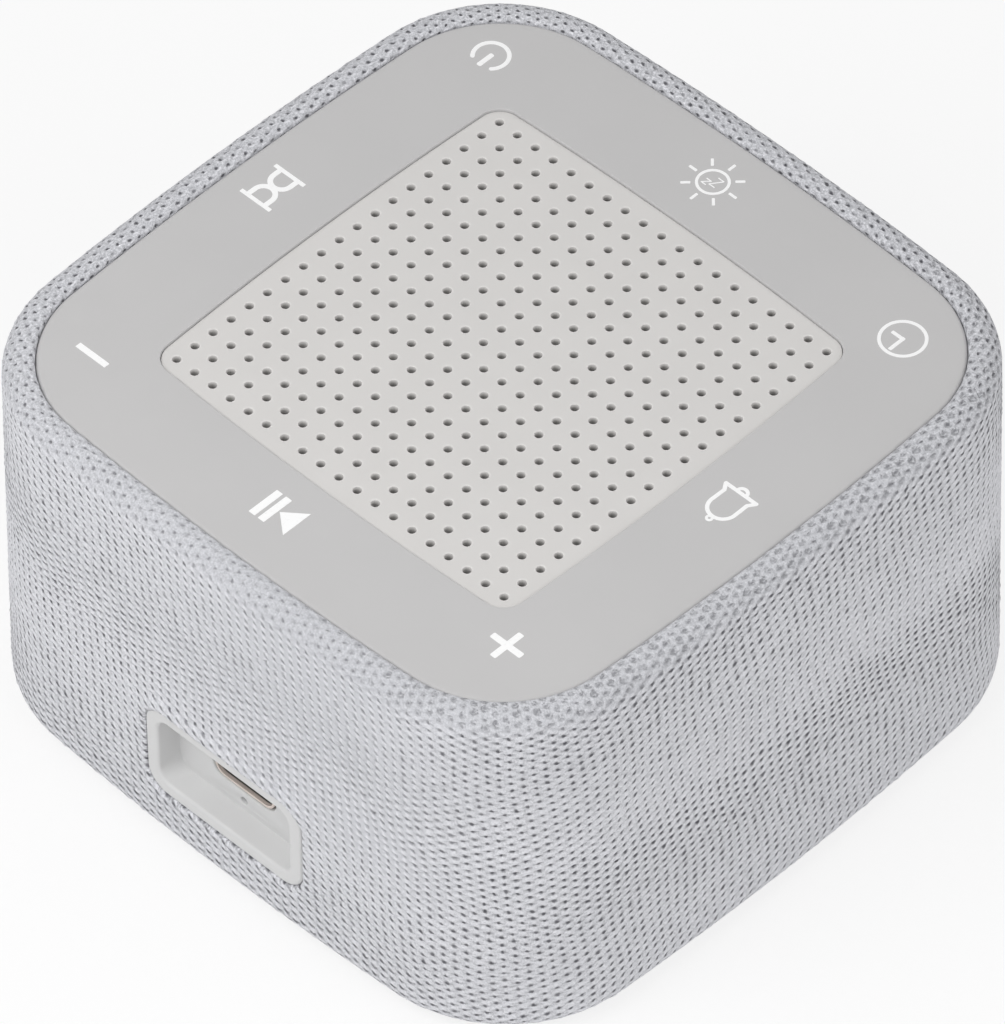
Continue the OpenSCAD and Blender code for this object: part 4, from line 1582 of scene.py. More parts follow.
    def build_port_edge(self, finish: bpy.types.Material) -> bpy.types.Object:
        """Turns the knit in round the socket's recess.

        Args:
            finish: The knit's material.

        Returns:
            The declared piece.
        """
        port, steps = self.port, 36
        random = np.random.default_rng(self.seed + 2)
        path, outward = self._port_path(steps)
        count = len(path)
        lap = 0.34 * np.clip((outward[:, 1] + 0.1) / 0.8, 0, 1)
        run = np.cumsum(np.linalg.norm(np.diff(path, axis=0, append=path[:1]), axis=1))
        loops = 0.5 + 0.5 * np.cos(run / 0.6 * 2 * math.pi)
        profile = [(1.55, -0.14), (1.25, 0.0), (0.98, 0.05), (0.74, 0.07), (0.52, 0.06), (0.34, 0.03),
                   (0.19, -0.03), (0.09, -0.12), (0.04, -0.26), (0.03, -0.6), (0.05, -1.1), (0.7, -1.1), (1.5, -0.6)]
        rings = []
        for number, (away, rise) in enumerate(profile):
            turning = math.exp(-((away - 0.3) / 0.4) ** 2) if number < 10 else 0.0
            away = away - lap * math.exp(-(away / 0.8) ** 2)
            away = away + turning * (0.04 * loops + random.normal(0, 0.025, count))
            rise = rise + turning * (0.3 * lap - 0.06 * loops + random.normal(0, 0.02, count)) + 0.7 * lap * (number < 8)
            x = port.x + path[:, 0] + outward[:, 0] * away
            z = port.z + path[:, 1] + outward[:, 1] * away
            rings.append(np.stack([x, self.face_depth(x, z) + rise, z], -1))
        piece = loft("knit_port_edge", rings, finish, True, 180.0)
        mesh = piece.data
        points = np.array([v.co for v in mesh.vertices]) / MM
        corner = points[[loop.vertex_index for loop in mesh.loops]]
        layer = mesh.uv_layers.new(name=self.WEAVE_MAP)
        layer.uv.foreach_set("vector", self._weave_at(corner[:, 0], corner[:, 2]).astype(np.float32).ravel())
        return place_on(piece, "knit_fabric")

    def _port_path(self, steps: int) -> tuple[np.ndarray, np.ndarray]:
        """The recess's outline at close, even steps, and its outward directions.

        Args:
            steps: How many steps each corner takes.

        Returns:
            Places and directions in X and Z.
        """
        port = self.port
        dense = rounded(port.width, port.height, port.radius, steps)
        ring = np.concatenate([dense, dense[:1]])
        run = np.concatenate([[0], np.cumsum(np.linalg.norm(np.diff(ring, axis=0), axis=1))])
        even = np.linspace(0, run[-1], int(run[-1] / 0.2), endpoint=False)
        path = np.stack([np.interp(even, run, ring[:, k]) for k in range(2)], -1)
        way = np.roll(path, -1, 0) - np.roll(path, 1, 0)
        way /= np.linalg.norm(way, axis=1)[:, None]
        return path, np.stack([way[:, 1], -way[:, 0]], -1)

    def face_depth(self, x: np.ndarray, z: np.ndarray) -> np.ndarray:
        """How far back the knit's mean face is on the back flank.

        Args:
            x: Places across.
            z: Heights on the straight part of the section.

        Returns:
            The face's Y at each place.
        """
        low, high = self.body[0][2] + self.base_radius, self.body[1][2] - self.shoulder
        inset = self.draft * np.clip((z - low) / (high - low), 0, 1)
        return self.plan.flank_centre + np.sqrt((self.plan.flank - inset) ** 2 - x ** 2)

    def _weave_at(self, x: np.ndarray, z: np.ndarray) -> np.ndarray:
        """Column and row of the weave at a place on the back flank.

        Args:
            x: Places across.
            z: Heights on the straight part of the section.

        Returns:
            Column and row of each place.
        """
        points, _, length = self.sampled(400)
        run = np.linspace(0, length, 400)
        crown = int(points[:, 1].argmax())
        row = np.interp(-z, -points[crown:, 1], run[crown:]) / length * self.rows
        angle = np.arcsin(-x / self.plan.flank)
        share = 1 + (angle + self.plan.flank_angle) * self.plan.flank / self.plan.side_length
        return np.stack([share * self.columns / 4, row], -1)

    @staticmethod
    def _weave_corners(around: int, down: int) -> np.ndarray:
        """Column and row of each outer face's four corners."""
        i = np.tile(np.arange(around), down)
        j = np.repeat(np.arange(down), around)
        corners = [(i, j), (i + 1, j), (i + 1, j + 1), (i, j + 1)][::-1]
        return np.stack([np.stack([a / 2, b / 4], -1) for a, b in corners], 1)

    @staticmethod
    def _stitched(outer: int, around: int, inner: int, few: int, flip: bool) -> list[tuple[int, int, int]]:
        """Triangles between a fine ring and one with a quarter of its points.

        Args:
            outer: The fine ring's first vertex.
            around: How many points it has.
            inner: The coarse ring's first vertex.
            few: How many points it has.
            flip: True to turn the faces over.

        Returns:
            The triangles.
        """
        made = []
        for k in range(few):
            o = [outer + (4 * k + s) % around for s in range(5)]
            a, b = inner + k, inner + (k + 1) % few
            made += [(o[0], o[1], a), (o[1], o[2], a), (a, o[2], b), (o[2], o[3], b), (o[3], o[4], b)]
        return [t if flip else t[::-1] for t in made]

    def _map(self, piece: bpy.types.Object, weave: np.ndarray, around: int, down: int) -> None:
        """Gives the sleeve its weave map, and a flat one with a tile for each side.

        Args:
            piece: The sleeve.
            weave: Column and row of each outer face's corners.
            around: Outer vertices round the sleeve.
            down: Outer steps down it.
        """
        mesh = piece.data
        outer = around * down * 4
        total = len(mesh.loops)
        first = mesh.uv_layers.new(name=self.WEAVE_MAP)
        uv = np.zeros((total, 2), np.float32)
        uv[:outer] = weave.reshape(-1, 2)
        uv[outer:] = (0.0, 0.5)
        first.uv.foreach_set("vector", uv.ravel())
        tile = mesh.uv_layers.new(name=self.BAKE_MAP)
        flat = np.full((total, 2), 0.0, np.float32)
        mid = weave[:, :, 0].mean(1)
        side = np.clip((mid // (self.columns / 4)).astype(int), 0, 3)[:, None]
        u = weave[:, :, 0] / (self.columns / 4) - side
        v = weave[:, :, 1] / self.rows
        flat[:outer, 0] = ((side % 2) * 0.5 + 0.005 + u * 0.49).ravel()
        flat[:outer, 1] = ((side // 2) * 0.48 + 0.045 + v * 0.47).ravel()
        corner = np.array([v.co for v in mesh.vertices])[
            np.array([loop.vertex_index for loop in mesh.loops])[outer:]] / MM
        angle = np.arctan2(corner[:, 1], corner[:, 0]) / (2 * math.pi) + 0.5
        flat[outer:, 0] = 0.01 + 0.98 * angle
        flat[outer:, 1] = 0.004 + 0.034 * np.clip(corner[:, 2] / 50, 0, 1)
        tile.uv.foreach_set("vector", flat.ravel())
        mesh.uv_layers.active = first
        first.active_render = True

    def _port_tool(self, finish: bpy.types.Material) -> bpy.types.Object:
        """The block that cuts the socket's opening."""
        port, gap = self.port, self.port_gap
        loop = rounded(port.width + 2 * gap, port.height + 2 * gap, port.radius + gap)
        back = self.body[1][1]
        rings = [np.c_[loop[:, 0] + port.x, np.full(len(loop), y), loop[:, 1] + port.z] for y in (back - 6, back + 2)]
        return loft("port_tool", rings, finish, False)


# ---- The key panel and its signs ----


class Sign(Enum):
    """The signs printed on the panel."""

    POWER = "sign_power"
    DIMMER = "sign_dimmer"
    CLOCK = "sign_clock"
    ALARM = "sign_alarm"
    VOLUME_UP = "sign_volume_up"
    PLAY = "sign_play"
    VOLUME_DOWN = "sign_volume_down"
    TIMER = "sign_timer"


class Pen:
    """Draws one sign as overlapping outlines, in millimetres round its own centre."""

    def __init__(self) -> None:
        """Starts with nothing drawn."""
        self.outlines: list[np.ndarray] = []

    def shape(self, points: Sequence[Point]) -> None:
        """Adds a plain outline."""
        self.outlines.append(np.array(points, float))

    def bar(self, start: Point, end: Point, width: float, soft: float = 0.12) -> None:
        """Adds a straight bar.

        Args:
            start: One end.
            end: The other end.
            width: Its width.
            soft: The radius of its corners.
        """
        a, b = np.array(start, float), np.array(end, float)
        way = (b - a) / np.linalg.norm(b - a)
        side = np.array([-way[1], way[0]])
        loop = rounded(float(np.linalg.norm(b - a)), width, min(soft, width / 2.001), 4)
        self.outlines.append((a + b) / 2 + loop[:, :1] * way + loop[:, 1:] * side)

    def arc(self, centre: Point, radius: float, width: float, start: float = 0.0, end: float = 360.0) -> None:
        """Adds an arc, as a run of short pieces.

        Args:
            centre: Its centre.
            radius: The radius of its middle line.
            width: Its width.
            start: Where it starts, in degrees from +X.
            end: Where it ends, further round.
        """
        steps = max(4, int(abs(end - start) / 7.5))
        angle = np.radians(np.linspace(start, end, steps + 1))
        way = np.stack([np.cos(angle), np.sin(angle)], -1)
        inner, outer = centre + (radius - width / 2) * way, centre + (radius + width / 2) * way
        for i in range(steps):
            self.outlines.append(np.array([inner[i], outer[i], outer[i + 1], inner[i + 1]]))

    def line(self, points: Sequence[Point], width: float) -> None:
        """Adds a line through points, with round joints."""
        for a, b in zip(points, points[1:]):
            self.bar(a, b, width, 0.0001)
        for p in points:
            self.outlines.append(circle(p, width / 2, 16))


@dataclass
class KeyPanel:
    """The soft panel round the grille: rounded at both edges, with a nub over each key."""

    plan: BowedSquare
    grille: BowedSquare
    inset: float = 4.25
    gap: float = 0.04
    lip: float = 0.45
    inner_lip: float = 0.1
    steps: int = 256
    nub_radius: float = 1.7
    ink_height: float = 0.03
    box: tuple[np.ndarray, np.ndarray] = field(default_factory=lambda: extent("key_panel"))
    keys: tuple[str, ...] = ("power_key", "dimmer_key", "clock_key", "alarm_key",
                             "volume_up_key", "play_key", "volume_down_key", "timer_key")

    @property
    def top(self) -> float:
        """The height of the panel's face."""
        return float(self.box[1][2])

    def build(self, finish: bpy.types.Material) -> bpy.types.Object:
        """Moulds the panel.

        Args:
            finish: Its material.

        Returns:
            The declared piece.
        """
        top, nub_low = self.top, float(self.box[0][2])
        low = nub_low + 0.3
        opening = BowedSquare(self.grille.half + self.gap, self.grille.corner + self.gap)
        bend = np.linspace(0, math.pi / 2, 7)
        rings = [self.plan.ring(self.steps, self.inset + 0.02, low), self.plan.ring(self.steps, self.inset, low + 0.03)]
        rings += [self.plan.ring(self.steps, self.inset + self.lip * (1 - math.cos(a)),
                                 top - self.lip * (1 - math.sin(a))) for a in bend]
        rings.append(self.plan.ring(self.steps, self.inset + self.lip + 0.5, top))
        outer = self.plan.ring(self.steps, self.inset + self.lip + 0.5, top)
        inner = opening.ring(self.steps, -self.inner_lip - 0.4, top)
        rings += [outer + (inner - outer) * t for t in (0.33, 0.67)]
        rings.append(inner)
        rings += [opening.ring(self.steps, -self.inner_lip * (1 - math.cos(a)),
                               top - self.inner_lip * (1 - math.sin(a))) for a in bend[::-1]]
        rings.append(opening.ring(self.steps, 0.0, low))
        piece = loft("soft_key_panel", rings, finish, True)
        for key in self.keys:
            low_corner, high_corner = extent(key)
            x, y = (low_corner + high_corner)[:2] / 2
            loop = circle((x, y), self.nub_radius, 40)
            small = circle((x, y), self.nub_radius - 0.1, 40)
            cut(piece, loft("nub", [np.c_[small, np.full(40, nub_low)], np.c_[loop, np.full(40, nub_low + 0.1)],
                                    np.c_[loop, np.full(40, low + 0.3)]], finish, False), "UNION")
        piece.data.shade_smooth()
        piece.data.set_sharp_from_angle(angle=math.radians(35))
        return place_on(piece, "panel_silicone", "key_panel")

    def print_signs(self, finish: bpy.types.Material) -> list[bpy.types.Object]:
        """Prints every sign on the panel.

        Args:
            finish: The ink's material.

        Returns:
            The signs.
        """
        made = []
        for sign in Sign:
            pen = Pen()
            centre = getattr(self, f"_{sign.name.lower()}")(pen)
            flat, triangles = filled(pen.outlines)
            points, faces = prism(flat + np.array(centre), triangles, self.top - 0.02, self.top + self.ink_height)
            made.append(place_on(new_object(sign.value, points, faces, finish), None))
        return made

    @staticmethod
    def _power(pen: Pen) -> Point:
        """A ring open at the top, with a bar in the gap."""
        pen.arc((0, 0), 2.0, 0.5, 135, 405)
        for angle in (135, 45):
            end = (2.0 * math.cos(math.radians(angle)), 2.0 * math.sin(math.radians(angle)))
            pen.outlines.append(circle(end, 0.25, 16))
        pen.bar((0, -0.3), (0, 2.0), 0.6, 0.2)
        return 31.8, -30.6

    @staticmethod
    def _dimmer(pen: Pen) -> Point:
        """A sun with eight rays and two sleepy strokes inside."""
        pen.arc((0, 0), 1.76, 0.34)
        for k in range(8):
            way = np.array([math.cos(k * math.pi / 4), math.sin(k * math.pi / 4)])
            pen.bar(tuple(2.4 * way), tuple(3.5 * way), 0.34, 0.1)
        for left, right, low, high in ((-0.85, 0.1, -0.83, 0.5), (0.2, 0.94, 0.05, 0.83)):
            slant = 0.14 * (high - low)
            pen.line([(left + slant, high), (right, high), (left, low), (right - slant, low)], 0.13)
        return 1.42, -33.65

    @staticmethod
    def _clock(pen: Pen) -> Point:
        """A clock face with two hands."""
        pen.arc((0, 0), 2.53, 0.4)
        pen.bar((-0.03, -0.22), (-0.03, 2.13), 0.44)
        pen.bar((-0.28, 0.03), (1.57, 0.03), 0.44)
        return -28.99, -31.05

    @staticmethod
    def _alarm(pen: Pen) -> Point:
        """A bell with a loop above and a clapper below."""
        width = 0.46
        pen.arc((0, 0.7), 1.67, width, 0, 180)
        for side in (-1, 1):
            pen.line([(side * 1.67, 0.7), (side * 1.64, -1.2), (side * 2.16, -1.95)], width)
        pen.bar((-2.42, -2.03), (2.42, -2.03), width, 0.22)
        pen.arc((0, 2.78), 0.31, 0.3)
        pen.arc((0, -2.1), 0.65, 0.42, 180, 360)
        return -32.1, -1.1

    @staticmethod
    def _volume_up(pen: Pen) -> Point:
        """A plus."""
        pen.bar((-2.17, 0), (2.17, 0), 0.79, 0.16)
        pen.bar((0, -2.17), (0, 2.17), 0.79, 0.16)
        return -29.46, 29.09

    @staticmethod
    def _play(pen: Pen) -> Point:
        """A triangle and two upright bars."""
        pen.shape([(-2.76, 2.19), (-2.76, -1.94), (-0.2, 0.13)])
        pen.bar((0.445, -1.9), (0.445, 2.3), 0.89, 0.08)
        pen.bar((1.795, -1.9), (1.795, 2.3), 0.89, 0.08)
        return 0.9, 32.2

    @staticmethod
    def _volume_down(pen: Pen) -> Point:
        """A minus."""
        pen.bar((-2.21, 0), (2.21, 0), 0.76, 0.05)
        return 30.9, 30.3

    @staticmethod
    def _timer(pen: Pen) -> Point:
        """An hourglass between two bars."""
        bulb, width, waist = 1.27, 0.62, -0.64
        for side in (-1, 1):
            pen.bar((-2.24, waist + side * 2.56), (2.24, waist + side * 2.56), 0.5, 0.06)
            level = waist + side * 1.4
            turn = (180, 360) if side > 0 else (0, 180)
            pen.arc((0, level), bulb, width, *turn)
            for x in (-bulb, bulb):
                pen.bar((x, level - side * 0.02), (x, waist + side * 2.5), width, 0.0001)
        return 34.66, 0.4


# ---- The grille ----


@dataclass
class Grille:
    """The bowed square plate with its rows of sound holes, each with a softly turned lip."""

    plan: BowedSquare
    rows: int = 19
    pitch: float = 2.7
    hole: float = 0.475
    lip: float = 0.1
    plate: float = 1.6
    flange: float = 1.6
    rim: float = 1.2
    edge: float = 0.15
    sides: int = 24
    box: tuple[np.ndarray, np.ndarray] = field(default_factory=lambda: extent("speaker_grille"))

    def build(self, finish: bpy.types.Material) -> bpy.types.Object:
        """Moulds and drills the plate.

        Args:
            finish: Its material.

        Returns:
            The declared piece.
        """
        low, top = float(self.box[0][2]), float(self.box[1][2])
        under, flange_top = top - self.plate, low + 1.0
        count = self.rows ** 2
        middle = (np.arange(self.rows) - (self.rows - 1) / 2) * self.pitch
        centres = np.array([(x, y) for x in middle for y in middle])
        mouth, support = self.hole + self.lip, self.hole + self.lip + 0.2
        steps = 160
        face = self.plan.ring(steps, self.edge + 0.35, top)[:, :2]
        extra = np.concatenate([circle(c, support, 12) for c in centres])
        flat, triangles = filled([face], [circle(c, mouth, self.sides) for c in centres], extra)
        back_flat, back = filled([self.plan.ring(steps, self.rim, under)[:, :2]],
                                 [circle(c, self.hole, self.sides) for c in centres])

        points = [np.c_[flat, np.full(len(flat), top)], np.c_[back_flat, np.full(len(back_flat), under)]]
        faces = [*triangles.tolist(), *(back[:, ::-1] + len(flat)).tolist()]
        start = len(flat) + len(back_flat)
        bend = np.linspace(0, math.pi / 2, 4)
        levels = [(mouth - self.lip * math.sin(a), top - self.lip * (1 - math.cos(a))) for a in bend]
        levels.append((self.hole, under))
        angle = np.arange(self.sides) * 2 * math.pi / self.sides
        walls = quads(len(levels), self.sides, False)
        for k, centre in enumerate(centres):
            for radius, z in levels:
                points.append(np.c_[centre[0] + radius * np.cos(angle), centre[1] + radius * np.sin(angle),
                                    np.full(self.sides, z)])
            faces += (walls + start + k * len(levels) * self.sides).tolist()
        start += count * len(levels) * self.sides

        outline = [(self.edge + 0.35, top), (self.edge, top)]
        outline += [(self.edge * (1 - math.sin(a)), top - self.edge * (1 - math.cos(a))) for a in bend[1:]]
        outline += [(0.0, flange_top), (-self.flange, flange_top), (-self.flange, low), (self.rim, low),
                    (self.rim, under)]
        rings = [self.plan.ring(steps, x, z) for x, z in outline]
        points += rings
        faces += (quads(len(rings), steps, False)[:, ::-1] + start).tolist()
        piece = new_object("sound_grille", np.concatenate(points), faces, finish, 30.0)
        self._weld(piece)
        turn_outwards(piece)
        return place_on(piece, "grille_plastic", "speaker_grille")

    @staticmethod
    def _weld(piece: bpy.types.Object) -> None:
        """Merges the points that the walls share with the two faces."""
        work = bmesh.new()
        work.from_mesh(piece.data)
        bmesh.ops.remove_doubles(work, verts=work.verts, dist=0.004 * MM)
        bmesh.ops.recalc_face_normals(work, faces=work.faces)
        work.to_mesh(piece.data)
        work.free()
        piece.data.shade_smooth()
        piece.data.set_sharp_from_angle(angle=math.radians(30))


# ---- The socket's recess ----


@dataclass
class PortBezel:
    """The framed recess at the back, with its slot and pinhole."""

    frame_width: float = 1.7
    corner: float = 3.0
    recess: float = 2.9
    step: float = 0.8
    wall: float = 1.2
    seat: float = 1.55
    taper: float = 0.35
    soft: float = 0.4
    fillet: float = 0.1
    floor_radius: float = 2.1
    slot: tuple[float, float] = (9.6, 3.5)
    pinhole: float = 0.48
    box: tuple[np.ndarray, np.ndarray] = field(default_factory=lambda: extent("port_bezel"))
    socket: tuple[np.ndarray, np.ndarray] = field(default_factory=lambda: extent("socket_shell"))
    lamp: tuple[np.ndarray, np.ndarray] = field(default_factory=lambda: extent("charge_lamp"))

    def build(self, finish: bpy.types.Material) -> bpy.types.Object:
        """Moulds the recess.

        Args:
            finish: Its material.

        Returns:
            The declared piece.
        """
        low, high = self.box
        self.centre = ((low[0] + high[0]) / 2, (low[2] + high[2]) / 2)
        width, height, face = high[0] - low[0], high[2] - low[2], high[1]
        bend = np.linspace(0, math.pi / 2, 6)
        floor = face - self.recess
        rings = [self._ring(width, height, self.step + 0.15, floor - self.wall),
                 self._ring(width, height, self.step, floor - self.wall + 0.15),
                 self._ring(width, height, self.step, face - self.seat),
                 self._ring(width, height, 0.05, face - self.seat),
                 self._ring(width, height, 0.0, face - self.seat + 0.05)]
        rings += [self._ring(width, height, self.soft * (1 - math.cos(a)), face - self.soft * (1 - math.sin(a)))
                  for a in bend]
        mouth = self.frame_width - self.soft * 0.6
        rings += [self._ring(width, height, mouth + self.soft * math.sin(a), face - self.soft * (1 - math.cos(a)))
                  for a in bend]
        deep = mouth + self.soft + self.taper
        rings += [self._ring(width, height, deep + self.fillet * (1 - math.cos(a)),
                             floor + self.fillet * (1 - math.sin(a)), self.floor_radius) for a in bend]
        rings.append(self._ring(width, height, deep + self.fillet + 0.5, floor, self.floor_radius))
        piece = loft("port_recess_frame", rings, finish, False, 50.0)
        self._open(piece, finish, floor)
        piece.data.shade_smooth()
        piece.data.set_sharp_from_angle(angle=math.radians(50))
        return place_on(piece, "bezel_plastic", "port_bezel")

    def _ring(self, width: float, height: float, inset: float, y: float, radius: float = 0.0) -> np.ndarray:
        """A ring of the frame's outline, moved inwards, at a depth.

        Args:
            width: The frame's width.
            height: Its height.
            inset: How far inwards the ring lies.
            y: Its depth.
            radius: Its corners' radius, where it isn't the frame's own.

        Returns:
            The ring's points.
        """
        radius = radius or max(self.corner - inset * 0.72, 0.6)
        loop = rounded(width - 2 * inset, height - 2 * inset, radius, 10)
        return np.c_[loop[:, 0] + self.centre[0], np.full(len(loop), y), loop[:, 1] + self.centre[1]]

    def _open(self, piece: bpy.types.Object, finish: bpy.types.Material, floor: float) -> None:
        """Cuts the slot and the pinhole, each with a softened mouth.

        Args:
            piece: The recess.
            finish: Its material.
            floor: The depth of its floor.
        """
        middle = (self.socket[0] + self.socket[1]) / 2
        lamp = (self.lamp[0] + self.lamp[1]) / 2
        slot = rounded(self.slot[0], self.slot[1], self.slot[1] / 2 - 0.05, 12)
        hole = circle((0, 0), self.pinhole, 32)
        for loop, at in ((slot, (middle[0], middle[2])), (hole, (lamp[0], lamp[2]))):
            rings = []
            for grow, y in ((0.0, floor - 2), (0.0, floor - 0.14), (0.05, floor - 0.05), (0.16, floor),
                            (0.4, floor + 0.3)):
                size = np.abs(loop).max(0)
                scaled = loop * (size + grow) / size
                rings.append(np.c_[scaled[:, 0] + at[0], np.full(len(loop), y), scaled[:, 1] + at[1]])
            cut(piece, loft("opening_tool", rings, finish, False))


# ---- Soft parts inside ----


@dataclass
class SoftInside:
    """The cloth, foam, rubber and wiring inside the housing."""

    grille: BowedSquare

    def build(self, looks: dict[str, bpy.types.Material]) -> None:
        """Makes each soft part in the place of its plain solid.

        Args:
            looks: Materials by slot.
        """
        self._dust_mesh(looks["mesh_cloth"])
        self._gasket(looks["gasket_foam"])
        self._surround(looks["surround_rubber"])
        self._spider(looks["spider_cloth"])
        self._pad(looks["gasket_foam"])
        self._leads(looks["lead_jacket"], looks["battery_jacket"])
        self._ribbons(looks["ribbon_film"], looks["display_ribbon_film"])

    def _dust_mesh(self, finish: bpy.types.Material) -> None:
        """The acoustic cloth behind the grille."""
        low, high = extent("dust_mesh")
        ring = self.grille.ring(128, 1.37, 0.0)[:, :2]
        grid = np.array([(x, y) for x in np.linspace(-24.6, 24.6, 42) for y in np.linspace(-24.6, 24.6, 42)])
        flat, triangles = filled([ring], (), grid)
        points, faces = prism(flat, triangles, 0.0, 1.0)
        wave = 0.03 * np.sin(points[:, 0] * 1.7) * np.sin(points[:, 1] * 1.9)
        thick = float(high[2] - low[2]) - 0.07
        points[:, 2] = low[2] + 0.035 + points[:, 2] * thick + wave
        piece = place_on(new_object("acoustic_cloth", points, faces, finish), "mesh_cloth", "dust_mesh")
        side = 2 * (self.grille.half - 1.37) * MM
        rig.sheet(piece, flat=(side, side), held="stretched", rests_on=["sound_grille"])

    @staticmethod
    def _gasket(finish: bpy.types.Material) -> None:
        """The foam ring that seals the speaker to the deck."""
        low, high = extent("speaker_gasket")
        inner, outer = 22.2, float(high[0])
        bulge = [(inner + 0.1, low[2]), (outer - 0.1, low[2]), (outer, low[2] + 0.12), (outer, high[2] - 0.12),
                 (outer - 0.1, high[2]), (inner + 0.1, high[2]), (inner, high[2] - 0.12), (inner, low[2] + 0.12)]
        piece = loft("foam_gasket", lathe(np.array(bulge), 120), finish, True, 60)
        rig.padded(place_on(piece, "gasket_foam", "speaker_gasket"), fill=1.0)

    @staticmethod
    def _surround(finish: bpy.types.Material) -> None:
        """The rubber half roll round the cone."""
        low, high = extent("speaker_surround")
        base = float(high[2]) - 2.0
        over = [(19.9 - 2.0 * math.cos(a), base + 2.0 * math.sin(a)) for a in np.linspace(0, math.pi, 25)]
        under = [(19.9 + 1.6 * math.cos(a), base + 1.6 * math.sin(a)) for a in np.linspace(0, math.pi, 21)]
        section = [(17.9, base - 0.85), *over, (22.1, base + 0.3), (24.1, base + 0.3), (24.2, base + 0.2),
                   (24.2, base), *under, (18.3, base - 0.3), (18.3, base - 0.85)]
        piece = loft("rubber_surround", lathe(np.array(section), 144), finish, True, 40)
        place_on(piece, "surround_rubber", "speaker_surround")

    @staticmethod
    def _spider(finish: bpy.types.Material) -> None:
        """The corrugated disc that centres the coil."""
        low, high = extent("speaker_spider")
        inner, outer, rim = 7.7, 15.7, 14.3
        across = np.linspace(inner, rim, 90)
        middle = float(low[2]) + 0.15
        wave = middle + 0.3 + 0.15 * (1 - np.cos((across - inner) * 2 * math.pi / 1.5)) - 0.15
        wave = np.where(across > 13.7, middle + (wave - middle) * np.clip((rim - across) / 0.6, 0, 1), wave)
        line = [*zip(across, wave), (outer, middle)]
        section = [(r, z - 0.13) for r, z in line] + [(r, z + 0.13) for r, z in reversed(line)]
        piece = loft("corrugated_spider", lathe(np.array(section), 120), finish, True, 60)
        place_on(piece, "spider_cloth", "speaker_spider")

    @staticmethod
    def _pad(finish: bpy.types.Material) -> None:
        """The foam pad under the cell."""
        low, high = extent("battery_pad")
        size, centre = high - low, (high + low) / 2
        rings = []
        for inset, z in ((0.35, low[2]), (0.08, low[2] + 0.12), (0.0, centre[2]), (0.08, high[2] - 0.12),
                         (0.35, high[2])):
            loop = rounded(size[0] - 2 * inset, size[1] - 2 * inset, 1.0, 6)
            rings.append(np.c_[loop + centre[:2], np.full(len(loop), z)])
        piece = loft("foam_pad", rings, finish, False, 60)
        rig.padded(place_on(piece, "gasket_foam", "battery_pad"), fill=1.0)

    @staticmethod
    def _leads(dark: bpy.types.Material, red: bpy.types.Material) -> None:
        """The twin leads to the speaker and to the cell."""
        speaker = [(-19.6, -0.8, 31.9), (-19.6, -0.8, 30.2), (-20.4, -1, 28.2), (-21.4, -1.6, 26),
                   (-21.8, -2.4, 23.5), (-21.2, -3.4, 21), (-20.3, -3.9, 19.4), (-20, -4, 18.4), (-20, -4, 17.3)]
        cell = [(23, 1.5, 6.8), (25.4, 1.5, 6.8), (28.6, 3, 7.2), (31, 5, 8.8), (32, 7.5, 11.5),
                (32, 9, 14), (31.2, 9.8, 15.3), (30.2, 10, 15.4), (29, 10, 15.4)]
        for name, node, route, pitch, finish in (("speaker_lead", "speaker_leads", speaker, 1.6, dark),
                                                 ("battery_lead", "battery_leads", cell, -1.6, red)):
            for number, side in enumerate((0.0, pitch)):
                path = smooth_path(np.array(route) + [0, side, 0], 6)
                rings = swept(path, circle((0, 0), 0.58, 16), np.array([0.0, 1.0, 0.0]))
                piece = loft(f"{name}_{number + 1}", rings, finish, False, 60)
                place_on(piece, "lead_jacket", node)

    @staticmethod
    def _ribbons(plain: bpy.types.Material, turned: bpy.types.Material) -> None:
        """The flat cables to the key board and to the display."""
        bend = np.radians(np.arange(0, 91, 15))
        key = [(-30.5, 35.6), (-30.5, 31.0), (-30.5, 27.0), *[(-30.5 + 2 * (1 - math.cos(a)), 16.3 - 2 * math.sin(a))
               for a in bend], (-28.0, 14.3)]
        low, high = extent("key_ribbon")
        key[0] = (-30.5, float(high[2]))
        path = np.array([(x, (low[1] + high[1]) / 2, z) for x, z in key])
        strip = rounded(float(high[1] - low[1]), 0.26, 0.06, 2)
        piece = loft("key_flat_cable", swept(path, strip, np.array([0.0, 1.0, 0.0])), plain, False, 60)
        place_on(piece, "ribbon_film", "key_ribbon")

        low, high = extent("display_ribbon")
        turn = np.radians(np.arange(90, -1, -15))
        side = [(float(low[1]) + 0.02, 20.0), (-31.5, 20.0), *[(-30.5 + 2 * math.cos(a), 18 + 2 * math.sin(a))
                for a in turn], (-28.5, 16.2), (-27, 14.6), (-25.5, 14.1), (-24.5, 14.1)]
        path = np.array([((low[0] + high[0]) / 2, y, z) for y, z in side])
        strip = rounded(float(high[0] - low[0]), 0.26, 0.06, 2)
        piece = loft("display_flat_cable", swept(path, strip, np.array([1.0, 0.0, 0.0])), turned, False, 60)
        place_on(piece, "ribbon_film", "display_ribbon")


# ---- Finishes of the parts that keep their solids ----


